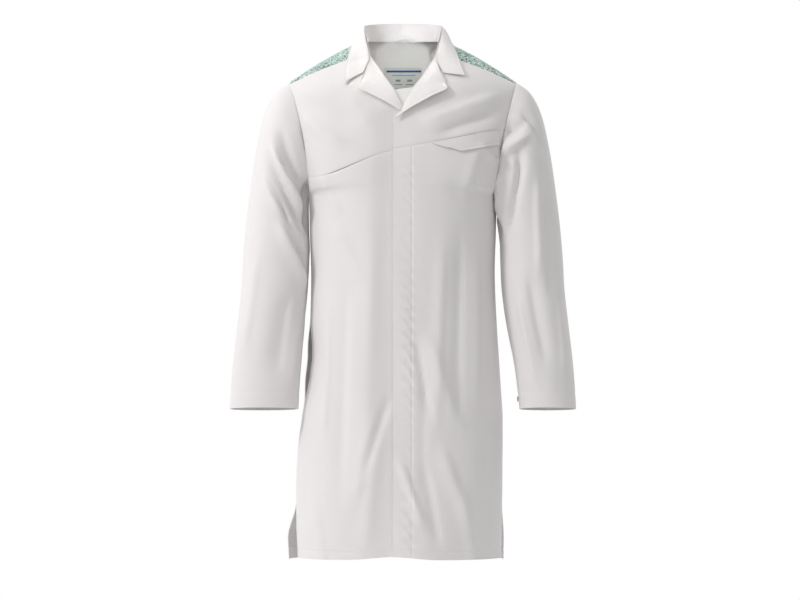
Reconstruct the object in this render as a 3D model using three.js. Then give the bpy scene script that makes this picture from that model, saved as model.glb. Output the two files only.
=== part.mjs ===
// A knee-length lab coat, filled out as if worn, hanging by its neck loop.
//
// Units are millimetres and +Z is up. The coat faces -Y, and +X is the wearer's left.
// It is drawn with the hem at z = 0 and its middle at y = 0, then moved so that the
// top of the hanger loop is the origin. Every cloth piece is a thin closed shell cut
// from one of a few smooth surfaces, so neighbouring pieces meet along their seams.

import * as THREE from 'three';

// ---- Driving dimensions ---------------------------------------------------------

// Cloth
const cloth = 1.5; // thickness of a sewn panel with its allowances
const seamGap = 0.8; // clearance between two panels along a seam
const layerGap = 0.7; // clearance between two layers that lie on each other

// Heights above the hem
const waistHeight = 560;
const underarmHeight = 744;
const breakHeight = 928; // where the lapels start to roll, at the bottom of the V
const shoulderTipHeight = 975;
const neckPointHeight = 1056;
const foldHeight = 1100; // top of the collar at the back

// Half widths and depths of the body, from its middle
const hemHalfWidth = 206;
const hipHalfWidth = 200;
const waistHalfWidth = 188;
const chestHalfWidth = 192;
const shoulderHalfWidth = 232;
const neckHalfWidth = 80;
const hemDepth = 140;
const waistDepth = 126;
const bladeDepth = 135; // furthest back, at the shoulder blades

// Front opening
const underlap = 20; // each front passes the centre line by this much
const placketWidth = 38;
const foldLineX = 150; // where an opened front folds back, from the centre line
const foldTopHeight = 826; // an opened front folds back below this height
const frontStep = 6.5; // how far the under front lies behind the upper one

// Press studs
const studCount = 4;
const studPitch = 145;
const topStudHeight = 866;
const studRadius = 5.5;
const studHeight = 1;
const studSides = 12;

// Chest seams, pocket and flap
const rightSeamSideHeight = 778; // the wearer's right chest seam, at the armhole
const leftSeamSideHeight = 875; // the wearer's left one, at the armhole
const seamCentreHeight = 834;
const flapInnerX = 57;
const flapOuterX = 190;
const flapDrop = 29;
const flapLift = 2.4; // how far the flap stands off the panel under it
const chestPocketDepth = 135;
const chestPocketWidth = 92;
const chestPocketRoom = 6; // how far the bag stands open

// Side pockets and vents
const ventHeight = 130;
const slitBottomHeight = 315;
const slitTopHeight = 493;
const sidePocketWidth = 120;
const sidePocketDrop = 70; // how far the bag reaches below the slit
const sidePocketRoom = 7;

// Collar
const standHeight = 40;
const collarDrop = 48;
const leafStandOff = 3.4;
const lapelStandOff = 3.2;

// Hanger loop
const loopLength = 60;
const loopTape = 8;
const loopRise = 7;

// Sleeves
const cuffHeight = 312;
const cuffHalfWidth = 60;
const cuffHalfDepth = 43;
const elbowHeight = 550;
const elbowHalfWidth = 63;
const elbowHalfDepth = 68;
const hemBand = 30; // the turned cuff hem
const elbowReach = 70; // the elbow's cloth works over this much above and below it
const cuffStudHeight = 16; // above the cuff's edge

// ---- Small helpers --------------------------------------------------------------

const v3 = (x, y, z) => new THREE.Vector3(x, y, z);
const mix = (a, b, t) => a + (b - a) * t;
const clamp = (x, lo, hi) => Math.min(hi, Math.max(lo, x));
const steps = (n) => Array.from({ length: n + 1 }, (_, i) => i / n);

function ease(t) {
  const s = clamp(t, 0, 1);
  return s * s * (3 - 2 * s);
}

function solve(value, lo, hi) {
  // the place between lo and hi where a rising value crosses zero
  let [a, b] = [lo, hi];
  for (let i = 0; i < 22; i += 1) {
    const m = (a + b) / 2;
    if (value(m) < 0) a = m;
    else b = m;
  }
  return (a + b) / 2;
}

const material = (color, roughness, metalness = 0) =>
  new THREE.MeshStandardMaterial({ color, roughness, metalness });

const whiteCloth = material(0xe9e6e4, 0.85);
const printCloth = material(0x7fc4b4, 0.85);
const tapeCloth = material(0xf2f1ef, 0.8);
const pocketCloth = material(0xdedbd8, 0.9);
const snapMetal = material(0xb9bcc0, 0.35, 0.9);
const darkSnap = material(0x4a4a4c, 0.4, 0.6);

const coat = new THREE.Group();

// A shell: a grid of {point, normal} is its outer face, and the inner face lies
// `thickness` behind it. A wrapped grid closes on itself along each row.
function shell(grid, thickness, wrapped = false) {
  const rows = grid.length;
  const cols = grid[0].length;
  const at = (i, j, inner) => (inner ? rows * cols : 0) + i * cols + (j % cols);
  const position = [];
  for (const depth of [0, thickness]) {
    for (const row of grid) {
      for (const { point, normal } of row) {
        position.push(
          point.x - normal.x * depth,
          point.y - normal.y * depth,
          point.z - normal.z * depth,
        );
      }
    }
  }
  const index = [];
  const quad = (a, b, c, d) => index.push(a, b, c, a, c, d);
  const last = wrapped ? cols : cols - 1;
  for (let i = 0; i < rows - 1; i += 1) {
    for (let j = 0; j < last; j += 1) {
      quad(at(i, j), at(i, j + 1), at(i + 1, j + 1), at(i + 1, j));
      quad(at(i, j, 1), at(i + 1, j, 1), at(i + 1, j + 1, 1), at(i, j + 1, 1));
    }
  }
  for (let j = 0; j < last; j += 1) {
    const [k, n] = [rows - 1, j + 1];
    quad(at(0, n), at(0, j), at(0, j, 1), at(0, n, 1));
    quad(at(k, j), at(k, n), at(k, n, 1), at(k, j, 1));
  }
  if (!wrapped) {
    for (let i = 0; i < rows - 1; i += 1) {
      const k = cols - 1;
      quad(at(i, 0), at(i + 1, 0), at(i + 1, 0, 1), at(i, 0, 1));
      quad(at(i + 1, k), at(i, k), at(i, k, 1), at(i + 1, k, 1));
    }
  }
  const geometry = new THREE.BufferGeometry();
  geometry.setAttribute('position', new THREE.Float32BufferAttribute(position, 3));
  geometry.setIndex(index);
  return geometry;
}

function volumeOf(geometry) {
  const p = geometry.getAttribute('position');
  const index = geometry.getIndex();
  const [a, b, c] = [v3(0, 0, 0), v3(0, 0, 0), v3(0, 0, 0)];
  let total = 0;
  for (let i = 0; i < index.count; i += 3) {
    a.fromBufferAttribute(p, index.getX(i));
    b.fromBufferAttribute(p, index.getX(i + 1));
    c.fromBufferAttribute(p, index.getX(i + 2));
    total += a.dot(b.cross(c)) / 6;
  }
  return total;
}

// turn a shell inside out when its faces point inwards
function facingOut(geometry) {
  if (volumeOf(geometry) > 0) return geometry;
  const old = geometry.getIndex().array;
  const turned = [];
  for (let i = 0; i < old.length; i += 3) turned.push(old[i], old[i + 2], old[i + 1]);
  geometry.setIndex(turned);
  return geometry;
}

function add(name, geometry, finish) {
  geometry.computeVertexNormals();
  const mesh = new THREE.Mesh(geometry, finish);
  mesh.name = name;
  coat.add(mesh);
  return mesh;
}

function addCloth(name, grid, finish = whiteCloth, thickness = cloth, wrapped = false) {
  return add(name, facingOut(shell(grid, thickness, wrapped)), finish);
}

const mirrored = ({ point, normal }) => ({
  point: v3(-point.x, point.y, point.z),
  normal: v3(-normal.x, normal.y, normal.z),
});

const lifted = ({ point, normal }, by) => ({
  point: point.clone().addScaledVector(normal, by),
  normal,
});

// normals for a free-standing grid of points, all turned towards `outward(point)`
function withNormals(points, outward) {
  return points.map((row, i) =>
    row.map((point, j) => {
      const up = points[Math.min(i + 1, points.length - 1)][j];
      const down = points[Math.max(i - 1, 0)][j];
      const right = row[Math.min(j + 1, row.length - 1)];
      const left = row[Math.max(j - 1, 0)];
      const normal = up.clone().sub(down).cross(right.clone().sub(left)).normalize();
      if (normal.dot(outward(point)) < 0) normal.negate();
      return { point, normal };
    }),
  );
}

// ---- Armhole and body surface, wearer's left (x > 0) -----------------------------

// A ring through four points: top, front, bottom (underarm side) and back.
function ringPoint(ring, angle) {
  const [c, s] = [Math.cos(angle), Math.sin(angle)];
  const middle = ring.top.clone().add(ring.bottom).multiplyScalar(0.5);
  const cross = ring.front.clone().add(ring.back).multiplyScalar(0.5);
  return middle
    .clone()
    .addScaledVector(ring.top.clone().sub(ring.bottom), c / 2)
    .addScaledVector(ring.front.clone().sub(ring.back), s / 2)
    .addScaledVector(cross.sub(middle), s * s);
}

const armholeHeight = (underarmHeight + shoulderTipHeight) / 2;
const armhole = {
  top: v3(shoulderHalfWidth, 5, shoulderTipHeight),
  front: v3(chestHalfWidth + 11, -62, armholeHeight - 2),
  bottom: v3(chestHalfWidth, 2, underarmHeight),
  back: v3(chestHalfWidth + 10, 70, armholeHeight),
};
const degrees = Math.PI / 180;
const armholeAt = (deg) => ringPoint(armhole, deg * degrees);

// One station of the body: a curve from the centre line or neckline (inner) out to
// the side seam or armhole (outer), as the four points of a cubic.
function level(z, halfWidth, depth, side) {
  const squareness = 0.56;
  return [
    v3(0, side * depth, z),
    v3(halfWidth * squareness, side * depth, z),
    v3(halfWidth, side * depth * 0.66, z),
    v3(halfWidth, armhole.bottom.y, z),
  ];
}

const skirt = (side) => [
  level(0, hemHalfWidth, hemDepth, side),
  level(waistHeight / 3, hemHalfWidth - 1, mix(hemDepth, waistDepth, 0.25), side),
  level((waistHeight * 2) / 3, hipHalfWidth - 4, mix(hemDepth, waistDepth, 0.65), side),
  level(waistHeight, waistHalfWidth, waistDepth, side),
  level(mix(waistHeight, underarmHeight, 0.55), chestHalfWidth - 2, waistDepth, side),
];

const chestFront = waistDepth;
const stations = [
  ...skirt(-1),
  [
    v3(0, -chestFront, underarmHeight),
    v3(105, -chestFront, underarmHeight),
    v3(chestHalfWidth, -chestFront * 0.68, underarmHeight),
    armholeAt(180),
  ],
  [
    v3(0, 1 - chestFront, underarmHeight + 31),
    v3(103, -chestFront, underarmHeight + 28),
    v3(chestHalfWidth - 10, 22 - chestFront, underarmHeight + 18),
    armholeAt(150),
  ],
  [
    v3(0, 3 - chestFront, underarmHeight + 71),
    v3(98, 1 - chestFront, underarmHeight + 68),
    v3(chestHalfWidth - 20, 14 - chestFront, underarmHeight + 59),
    armholeAt(120),
  ],
  [
    v3(0, 8 - chestFront, armholeHeight - 2),
    v3(90, 5 - chestFront, armholeHeight - 4),
    v3(chestHalfWidth - 24, 16 - chestFront, armholeHeight - 9),
    armholeAt(95),
  ],
  [
    v3(0, 22 - chestFront, breakHeight),
    v3(75, 15 - chestFront, breakHeight - 10),
    v3(chestHalfWidth - 27, 26 - chestFront, breakHeight - 20),
    armholeAt(65),
  ],
  [
    v3(neckHalfWidth * 0.52, -78, mix(breakHeight, neckPointHeight, 0.485)),
    v3(95, -82, neckPointHeight - 71),
    v3(175, -75, shoulderTipHeight - 10),
    armholeAt(32),
  ],
  [
    v3(neckHalfWidth, 5, neckPointHeight),
    v3(neckHalfWidth + 45, 8, neckPointHeight - 14),
    v3(shoulderHalfWidth - 52, 8, mix(neckPointHeight, shoulderTipHeight, 0.55)),
    armholeAt(0),
  ],
  [
    v3(neckHalfWidth * 0.56, 66, neckPointHeight + 7),
    v3(100, 62, neckPointHeight - 11),
    v3(172, 60, shoulderTipHeight + 20),
    armholeAt(-32),
  ],
  [
    v3(0, 84, neckPointHeight + 2),
    v3(75, 98, neckPointHeight - 21),
    v3(160, 100, shoulderTipHeight - 25),
    armholeAt(-65),
  ],
  [
    v3(0, bladeDepth - 13, neckPointHeight - 96),
    v3(80, bladeDepth - 11, neckPointHeight - 111),
    v3(165, bladeDepth - 15, armholeHeight + 21),
    armholeAt(-95),
  ],
  [
    v3(0, bladeDepth - 1, armholeHeight + 11),
    v3(90, bladeDepth, armholeHeight + 1),
    v3(170, bladeDepth - 13, underarmHeight + 71),
    armholeAt(-120),
  ],
  [
    v3(0, bladeDepth, underarmHeight + 56),
    v3(100, bladeDepth, underarmHeight + 51),
    v3(180, bladeDepth - 24, underarmHeight + 26),
    armholeAt(-150),
  ],
  [
    v3(0, bladeDepth - 3, underarmHeight),
    v3(105, bladeDepth - 3, underarmHeight),
    v3(chestHalfWidth, 90, underarmHeight),
    armholeAt(180),
  ],
  ...skirt(1).reverse(),
];

const lastStation = stations.length - 1;
const underarmStation = 5;
const shoulderStation = 11;
const backUnderarmStation = lastStation - 5;
const rails = [0, 1, 2].map((k) => stations.map((station) => station[k]));
const sideSeam = stations.slice(0, underarmStation + 1).map((station) => station[3]);

function railPoint(points, v) {
  const i = clamp(Math.floor(v), 0, points.length - 2);
  const t = v - i;
  const p = (n) => points[clamp(n, 0, points.length - 1)];
  const [a, b, c, d] = [p(i - 1), p(i), p(i + 1), p(i + 2)];
  const out = v3(0, 0, 0);
  for (const k of ['x', 'y', 'z']) {
    const bend = 2 * a[k] - 5 * b[k] + 4 * c[k] - d[k];
    const twist = 3 * b[k] - a[k] - 3 * c[k] + d[k];
    out[k] = b[k] + (t * (c[k] - a[k] + t * (bend + t * twist))) / 2;
  }
  return out;
}

// u runs 0 to 1 from the centre to the side, and below 0 past the centre line;
// v runs from the front hem over the shoulder to the back hem.
function bodyPoint(u, v) {
  const onArmhole = v > underarmStation && v < backUnderarmStation;
  const outer = onArmhole
    ? armholeAt(armholeAngle(v))
    : railPoint(sideSeam, v < shoulderStation ? v : lastStation - v);
  const inner = railPoint(rails[0], v);
  inner.x = Math.max(0, inner.x);
  const p1 = railPoint(rails[1], v);
  const p2 = railPoint(rails[2], v);
  const t = Math.abs(u);
  const s = 1 - t;
  const point = inner
    .multiplyScalar(s * s * s)
    .addScaledVector(p1, 3 * s * s * t)
    .addScaledVector(p2, 3 * s * t * t)
    .addScaledVector(outer, t * t * t);
  if (u < 0) point.x = -point.x;
  return point;
}

const armholeStops = [180, 150, 120, 95, 65, 32, 0, -32, -65, -95, -120, -150, -180];

function armholeAngle(v) {
  const t = clamp(v - underarmStation, 0, armholeStops.length - 1);
  const i = Math.min(Math.floor(t), armholeStops.length - 2);
  return mix(armholeStops[i], armholeStops[i + 1], t - i);
}

function body(u, v) {
  const e = 0.004;
  const point = bodyPoint(u, v);
  const v0 = clamp(v - 5 * e, 0, lastStation);
  const v1 = clamp(v + 5 * e, 0, lastStation);
  const u1 = Math.min(u + e, 1);
  const alongU = bodyPoint(u1, v).sub(bodyPoint(u1 - 2 * e, v));
  const alongV = bodyPoint(u, v1).sub(bodyPoint(u, v0));
  return { point, normal: alongU.cross(alongV).normalize() };
}

const uAtX = (x, v) => (x < 0 ? -1 : 1) * solve((u) => bodyPoint(u, v).x - Math.abs(x), 0, 1);

// the station where a line at a given u reaches height z, on the front or the back
const frontV = (u, z) => solve((v) => bodyPoint(u, v).z - z, 0, shoulderStation);
const backV = (u, z) => solve((v) => z - bodyPoint(u, v).z, shoulderStation, lastStation);

// the front surface's place at a given x and height
function frontAt(x, z) {
  const v = solve((w) => bodyPoint(uAtX(x, w), w).z - z, 0, shoulderStation);
  return body(uAtX(x, v), v);
}

// normals for a grid that folds back on itself, such as a bag
function foldedNormals(points) {
  const grid = withNormals(points, () => v3(0, 0, 0));
  const middle = grid[0][Math.floor(grid[0].length / 2)];
  const sign = middle.normal.dot(middle.point.clone().setZ(0)) < 0 ? -1 : 1;
  for (const row of grid) for (const place of row) place.normal.multiplyScalar(sign);
  return grid;
}

const flip = (grid) => grid.map((row) => row.map(mirrored));
const both = (side, grid) => (side > 0 ? grid : flip(grid));
const word = (side) => (side > 0 ? 'left' : 'right');
const edge = seamGap / 2;
const slim = 0.0024; // the same clearance as a step in u at the side seam and armhole

// ---- Body panels ----------------------------------------------------------------

// The chest seams, as heights across each front.
const acrossChest = (x) => clamp((x + underlap) / (chestHalfWidth + underlap), 0, 1);
const rightSeam = (x) => mix(seamCentreHeight, rightSeamSideHeight, ease(x / chestHalfWidth));
const leftSeam = (x) => mix(seamCentreHeight, leftSeamSideHeight, acrossChest(x));
const placketInnerX = placketWidth - underlap;
const breakStation = 9;
const printFrontV = shoulderStation - 0.42;
const printBackV = shoulderStation + 0.95;
const neckBackV = shoulderStation + 2;
const backYokeHeight = 880;
const layerStep = cloth + layerGap;
const bagCloth = 0.8;
const bagStep = layerStep + 1.3; // how far a pocket bag's front lies behind the outside
const foldGap = 0.6;

// how far the right front lies behind the left one, near the centre line
const step = (x) => frontStep * (1 - ease((x - 24) / 46));

// how far apart a bag's two layers lie, s of the way across it
const bagRoom = (room, s) => 2 * bagCloth + room * Math.sqrt(Math.sin(Math.PI * mix(0.04, 0.96, s)));

for (const side of [1, -1]) {
  const name = word(side);
  const seam = side > 0 ? leftSeam : rightSeam;
  const inset = side > 0 ? () => 0 : step;
  const centreX = side > 0 ? placketInnerX + edge : -underlap;
  const underStart = side > 0 ? 0 : 0.7; // the under front turns back lower down
  const seamV = (u, by) => frontV(u, seam(bodyPoint(u, 7.5).x) + by);

  // upper front, from the chest seam to the printed shoulder panel
  const yoke = steps(8).map((t) =>
    steps(9).map((s) => {
      const low = seamV(mix(uAtX(centreX, 7.5), 1 - slim, s), edge);
      const v = mix(low, printFrontV - 0.012, t);
      const rolled = ease((v - breakStation + underStart) * 2);
      const start = mix(uAtX(centreX, Math.min(v, breakStation)), 0.002, rolled);
      const u = mix(start, 1 - slim, s);
      const behind = inset(bodyPoint(u, v).x) * (1 - ease((v - breakStation + 0.4) * 2));
      return lifted(body(u, v), -behind);
    }),
  );
  addCloth(`${name}_front_yoke`, both(side, yoke));

  // printed panel over the shoulder
  const print = steps(5).map((t) =>
    steps(7).map((s) => body(mix(0.03, 1 - slim, s), mix(printFrontV, printBackV - 0.012, t))),
  );
  addCloth(`${name}_shoulder_panel`, both(side, print), printCloth);

  // side of the front, from the fold line round to the side seam, with the pocket slit
  // and the open vent
  const slit = (z) => ease((z - slitBottomHeight) / 25) * ease((slitTopHeight - z) / 25);
  const vent = (z) => ease((ventHeight - z) / 20);
  const outerU = (z) => 1 - slim - 0.016 * slit(z) - 0.012 * vent(z);
  const sidePanel = steps(15).map((t) =>
    steps(5).map((s) => {
      let [u, v] = [0.85, 0];
      for (let pass = 0; pass < 3; pass += 1) {
        v = mix(0.01, seamV(u, -edge), t);
        u = mix(uAtX(foldLineX + foldGap, v), outerU(bodyPoint(u, v).z), s);
      }
      return body(u, v);
    }),
  );
  addCloth(`${name}_front_side`, both(side, sidePanel));

  // front that opens, up to the top of its fold or the chest seam
  const topOf = (x) => (side > 0 ? foldTopHeight : rightSeam(Math.max(x, 0))) - edge;
  const opening = steps(15).map((t) =>
    steps(8).map((s) => {
      const x = mix(centreX, foldLineX - foldGap, s);
      return lifted(frontAt(x, mix(1, topOf(x), t)), -inset(x));
    }),
  );
  addCloth(`${name}_front`, both(side, opening));

  // side pocket: a flat bag behind the front's side, open at the slit
  const [bagLow, bagHigh] = [slitBottomHeight - sidePocketDrop, slitTopHeight + 8];
  const bag = steps(8).map((s) =>
    steps(10).map((t) => {
      const v = frontV(0.85, mix(bagLow, bagHigh, s));
      const along = Math.abs(1 - 2 * t);
      const u = mix(uAtX(foldLineX + 4, v), 0.975, along);
      const back = t > 0.5 ? bagRoom(sidePocketRoom, s) * ease(along * 4) : 0;
      return lifted(body(u, v), -(bagStep + back)).point;
    }),
  );
  const bagGrid = foldedNormals(bag);
  addCloth(`${name}_side_pocket`, both(side, bagGrid), pocketCloth, bagCloth);
}

// panel between the left chest seam and the top of the opening front
const pocketPanel = steps(2).map((t) =>
  steps(7).map((s) => {
    const x = mix(placketInnerX + edge, foldLineX - foldGap, s);
    return frontAt(x, mix(foldTopHeight + edge, leftSeam(x) - edge, t));
  }),
);
addCloth('left_pocket_panel', pocketPanel);

// the back, in one piece below its yoke
const backPanel = steps(14).map((t) =>
  steps(16).map((s) => {
    const u = mix(slim - 1, 1 - slim, s);
    return body(u, mix(backV(Math.abs(u), backYokeHeight) + 0.02, lastStation - 0.01, t));
  }),
);
addCloth('back_panel', backPanel);

// The back yoke runs from the printed panels and the neckline down to its seam.
// s runs 0 at the centre back to 1 at the armhole, and t from the top edge down.
const neckShare = 0.34;
function backYokeAt(s, t) {
  const a = Math.abs(s);
  const topU = a < neckShare ? 0.004 : mix(0.004, 1 - slim, (a - neckShare) / (1 - neckShare));
  const topV = mix(neckBackV, printBackV, Math.min(a / neckShare, 1));
  const lowU = a * (1 - slim);
  const u = mix(topU, lowU, t) * (s < 0 ? -1 : 1);
  const v = mix(topV + 0.01, backV(lowU, backYokeHeight) - 0.012, t);
  return body(a < 1e-6 ? 0 : u, v);
}
const backYoke = steps(7).map((t) => steps(18).map((s) => backYokeAt(mix(-1, 1, s), t)));
addCloth('back_yoke', backYoke);

const facing = steps(4).map((t) =>
  steps(10).map((s) => lifted(backYokeAt(mix(-0.42, 0.42, s), mix(0.1, 0.62, t)), -layerStep - 0.7)),
);
addCloth('neck_facing', facing, tapeCloth, bagCloth);

// ---- Front edges and press studs --------------------------------------------------

const frontStrip = (x0, x1, z0, z1, rows, depth) =>
  steps(rows).map((t) =>
    steps(2).map((s) => lifted(frontAt(mix(x0, x1, s), mix(z0, z1, t)), -depth)),
  );
const placketTop = breakHeight - 14;
const placketX = placketInnerX - edge;
const stripCloth = 1.2;
const topCloth = layerStep + stripCloth;
const foldTop = foldTopHeight;
addCloth('placket', frontStrip(-underlap, placketX, 1, foldTop - edge, 15, 0));
const topStrip = frontStrip(-underlap, placketX, foldTop + edge, placketTop, 3, 0);
addCloth('placket_top', topStrip, whiteCloth, topCloth);
const studStrip = frontStrip(6 - underlap, placketX - 3, 40, foldTop - 4, 15, layerStep);
addCloth('stud_strip', studStrip, tapeCloth, stripCloth);

function disc(name, place, depth, radius, height, finish) {
  const mesh = add(name, new THREE.CylinderGeometry(radius, radius, height, studSides), finish);
  mesh.quaternion.setFromUnitVectors(v3(0, 1, 0), place.normal);
  mesh.position.copy(place.point).addScaledVector(place.normal, -(depth + height / 2));
}

const studGap = 0.3;
const socketDepth = topCloth + studGap;
const postDepth = socketDepth + studHeight + studGap;
for (let n = 0; n <= studCount; n += 1) {
  const place = frontAt(0.01, topStudHeight - n * studPitch);
  disc(`stud_socket_${n + 1}`, place, socketDepth, studRadius, studHeight, snapMetal);
  disc(`stud_post_${n + 1}`, place, postDepth, studRadius - 1, studHeight, snapMetal);
}

// ---- Chest pocket -----------------------------------------------------------------

const flap = steps(3).map((t) =>
  steps(7).map((s) => {
    const x = mix(flapInnerX + 30 * t, flapOuterX + 4 * t, s);
    const shape = mix(0.55, 1, ease(s * 3));
    return lifted(frontAt(x, leftSeam(x) - 1 - flapDrop * t * shape), flapLift);
  }),
);
addCloth('chest_pocket_flap', flap);

const chestBag = steps(10).map((t) =>
  steps(7).map((s) => {
    const x = flapOuterX - 42 - chestPocketWidth * (1 - s);
    const along = Math.abs(1 - 2 * t);
    const back = t > 0.5 ? bagRoom(chestPocketRoom, s) * ease(along * 4) : 0;
    const z = leftSeam(x) - 3 - chestPocketDepth * (1 - along);
    return lifted(frontAt(x, z), -(bagStep + back)).point;
  }),
);
addCloth('chest_pocket_bag', foldedNormals(chestBag), pocketCloth, bagCloth);

// ---- Collar and lapels --------------------------------------------------------------

// keep a point at least `gap` outside the body's surface
const upperBody = steps(90).flatMap((t) =>
  steps(26).map((s) => body(mix(0.001, 0.9, s), mix(8, 16, t))),
);
function clearOf(point, gap) {
  const p = v3(Math.abs(point.x), point.y, point.z);
  let nearest = upperBody[0];
  for (const place of upperBody) {
    if (place.point.distanceToSquared(p) < nearest.point.distanceToSquared(p)) nearest = place;
  }
  const out = p.clone().sub(nearest.point).dot(nearest.normal);
  if (out < gap) p.addScaledVector(nearest.normal, gap - out);
  if (point.x < 0) p.x = -p.x;
  return p;
}

// A line from the centre back round to the front end on one side, and its mirror.
const half = (points) => new THREE.CatmullRomCurve3(points, false, 'centripetal');
const around = (curve, w) => {
  const p = curve.getPoint(Math.abs(w));
  return w < 0 ? v3(-p.x, p.y, p.z) : p;
};
const neckX = neckHalfWidth;
const neckZ = neckPointHeight;
const foldLine = half([
  v3(0, 86, foldHeight),
  v3(neckX * 0.56, 71, foldHeight - 2),
  v3(neckX * 0.9, 38, foldHeight - 6),
  v3(neckX - 1, 2, foldHeight - 12),
  v3(neckX - 6, -20, foldHeight - 38),
  v3(neckX - 13, -42, neckZ - 34),
]);
const neckSeam = half([
  v3(0, 80, foldHeight - standHeight),
  v3(neckX * 0.54, 63, neckZ + 5),
  v3(neckX * 0.87, 34, neckZ + 4),
  v3(neckX - 3.5, 3, neckZ - 1),
  v3(neckX - 9, -16, neckZ - 12),
  v3(neckX - 15.5, -37, neckZ - 37),
]);
const standPoints = steps(3).map((t) =>
  steps(20).map((s) => {
    const w = mix(-0.9, 0.9, s);
    return around(neckSeam, w).lerp(around(foldLine, w), t);
  }),
);
const neckMiddle = v3(0, 10, neckZ + 20);
const awayFromNeck = (p) => v3(p.x, p.y - neckMiddle.y, 0);
addCloth('collar_stand', withNormals(standPoints, awayFromNeck));

const leafInner = half([
  v3(0, 88, foldHeight),
  v3(neckX * 0.57, 73, foldHeight - 2),
  v3(neckX * 0.92, 39, foldHeight - 6),
  v3(neckX + 1, 2, foldHeight - 12),
  v3(neckX - 3, -24, foldHeight - 38),
  v3(neckX - 10, -46, neckZ - 34),
  v3(neckX - 1, -68, neckZ - 75),
]);
const leafOuter = half([
  v3(0, 116, foldHeight - collarDrop),
  v3(neckX * 0.72, 98, foldHeight - collarDrop - 2),
  v3(neckX * 1.1, 58, foldHeight - collarDrop - 1),
  v3(neckX * 1.27, 14, foldHeight - collarDrop - 1),
  v3(neckX * 1.36, -22, neckZ - 20),
  v3(neckX * 1.46, -52, neckZ - 44),
  v3(neckX * 1.53, -72, neckZ - 68),
]);
const leafPoints = steps(4).map((t) =>
  steps(26).map((s) => {
    const w = mix(-1, 1, s);
    const p = around(leafInner, w).lerp(around(leafOuter, w), t);
    const bulge = 5 * Math.sin(Math.PI * t) * (1 - 0.6 * Math.abs(w));
    p.addScaledVector(v3(p.x, p.y - neckMiddle.y, 30).normalize(), bulge);
    return t === 0 && Math.abs(w) < 0.62 ? p : clearOf(p, leafStandOff);
  }),
);
addCloth('collar_leaf', withNormals(leafPoints, awayFromNeck));

const rollLine = half([
  v3(1, -111, breakHeight - 4),
  v3(neckX * 0.24, -102, breakHeight + 28),
  v3(neckX * 0.52, -83, breakHeight + 60),
  v3(neckX - 15, -52, neckZ - 40),
]);
const lapelEdge = half([
  v3(6, -120, breakHeight - 15),
  v3(27, -118, breakHeight - 2),
  v3(62, -114, breakHeight + 17),
  v3(90, -104, breakHeight + 32),
  v3(76, -72, neckZ - 78),
]);
for (const side of [1, -1]) {
  const points = steps(4).map((t) =>
    steps(9).map((s) => {
      const p = rollLine.getPoint(mix(0, 0.97, s)).lerp(lapelEdge.getPoint(s), t);
      return clearOf(p, t === 0 ? 1.6 : lapelStandOff);
    }),
  );
  const grid = withNormals(points, () => v3(0, -1, 0));
  addCloth(`${word(side)}_lapel`, both(side, grid));
}

// ---- Hanger loop --------------------------------------------------------------------

// its ends are sewn to the inside of the stand, a little above the neck seam
const loopHalf = loopLength * 0.4;
const standInside = (x) => {
  const w = solve((n) => around(neckSeam, n).x - x, 0, 0.5);
  return around(neckSeam, w).lerp(around(foldLine, w), 0.1).y - cloth - bagCloth - 1.2;
};
const loopZ = foldHeight - standHeight + loopTape + loopRise;
const loopY = standInside(0) - loopRise;
const loopCurve = half([
  v3(-loopHalf, standInside(loopHalf), loopZ - loopRise),
  v3(-loopHalf * 0.55, mix(loopY, standInside(loopHalf * 0.55), 0.35), loopZ - 2),
  v3(0, loopY, loopZ),
  v3(loopHalf * 0.55, mix(loopY, standInside(loopHalf * 0.55), 0.35), loopZ - 2),
  v3(loopHalf, standInside(loopHalf), loopZ - loopRise),
]);
const loop = steps(1).map((t) =>
  steps(10).map((s) => {
    const p = loopCurve.getPoint(s);
    return { point: v3(p.x, p.y, p.z - loopTape * (1 - t)), normal: v3(0, -1, 0) };
  }),
);
addCloth('hanger_loop', loop, tapeCloth, bagCloth);

// ---- Sleeves ------------------------------------------------------------------------

const [outX, inX] = [shoulderHalfWidth, chestHalfWidth];
const ring = (top, front, bottom, back) => ({ top, front, bottom, back });

// a level ring of the lower sleeve
function sleeveLevel(z, x, y, halfWidth, halfDepth) {
  return ring(
    v3(x + halfWidth, y, z),
    v3(x, y - halfDepth, z),
    v3(x - halfWidth, y, z),
    v3(x, y + halfDepth, z),
  );
}

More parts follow.
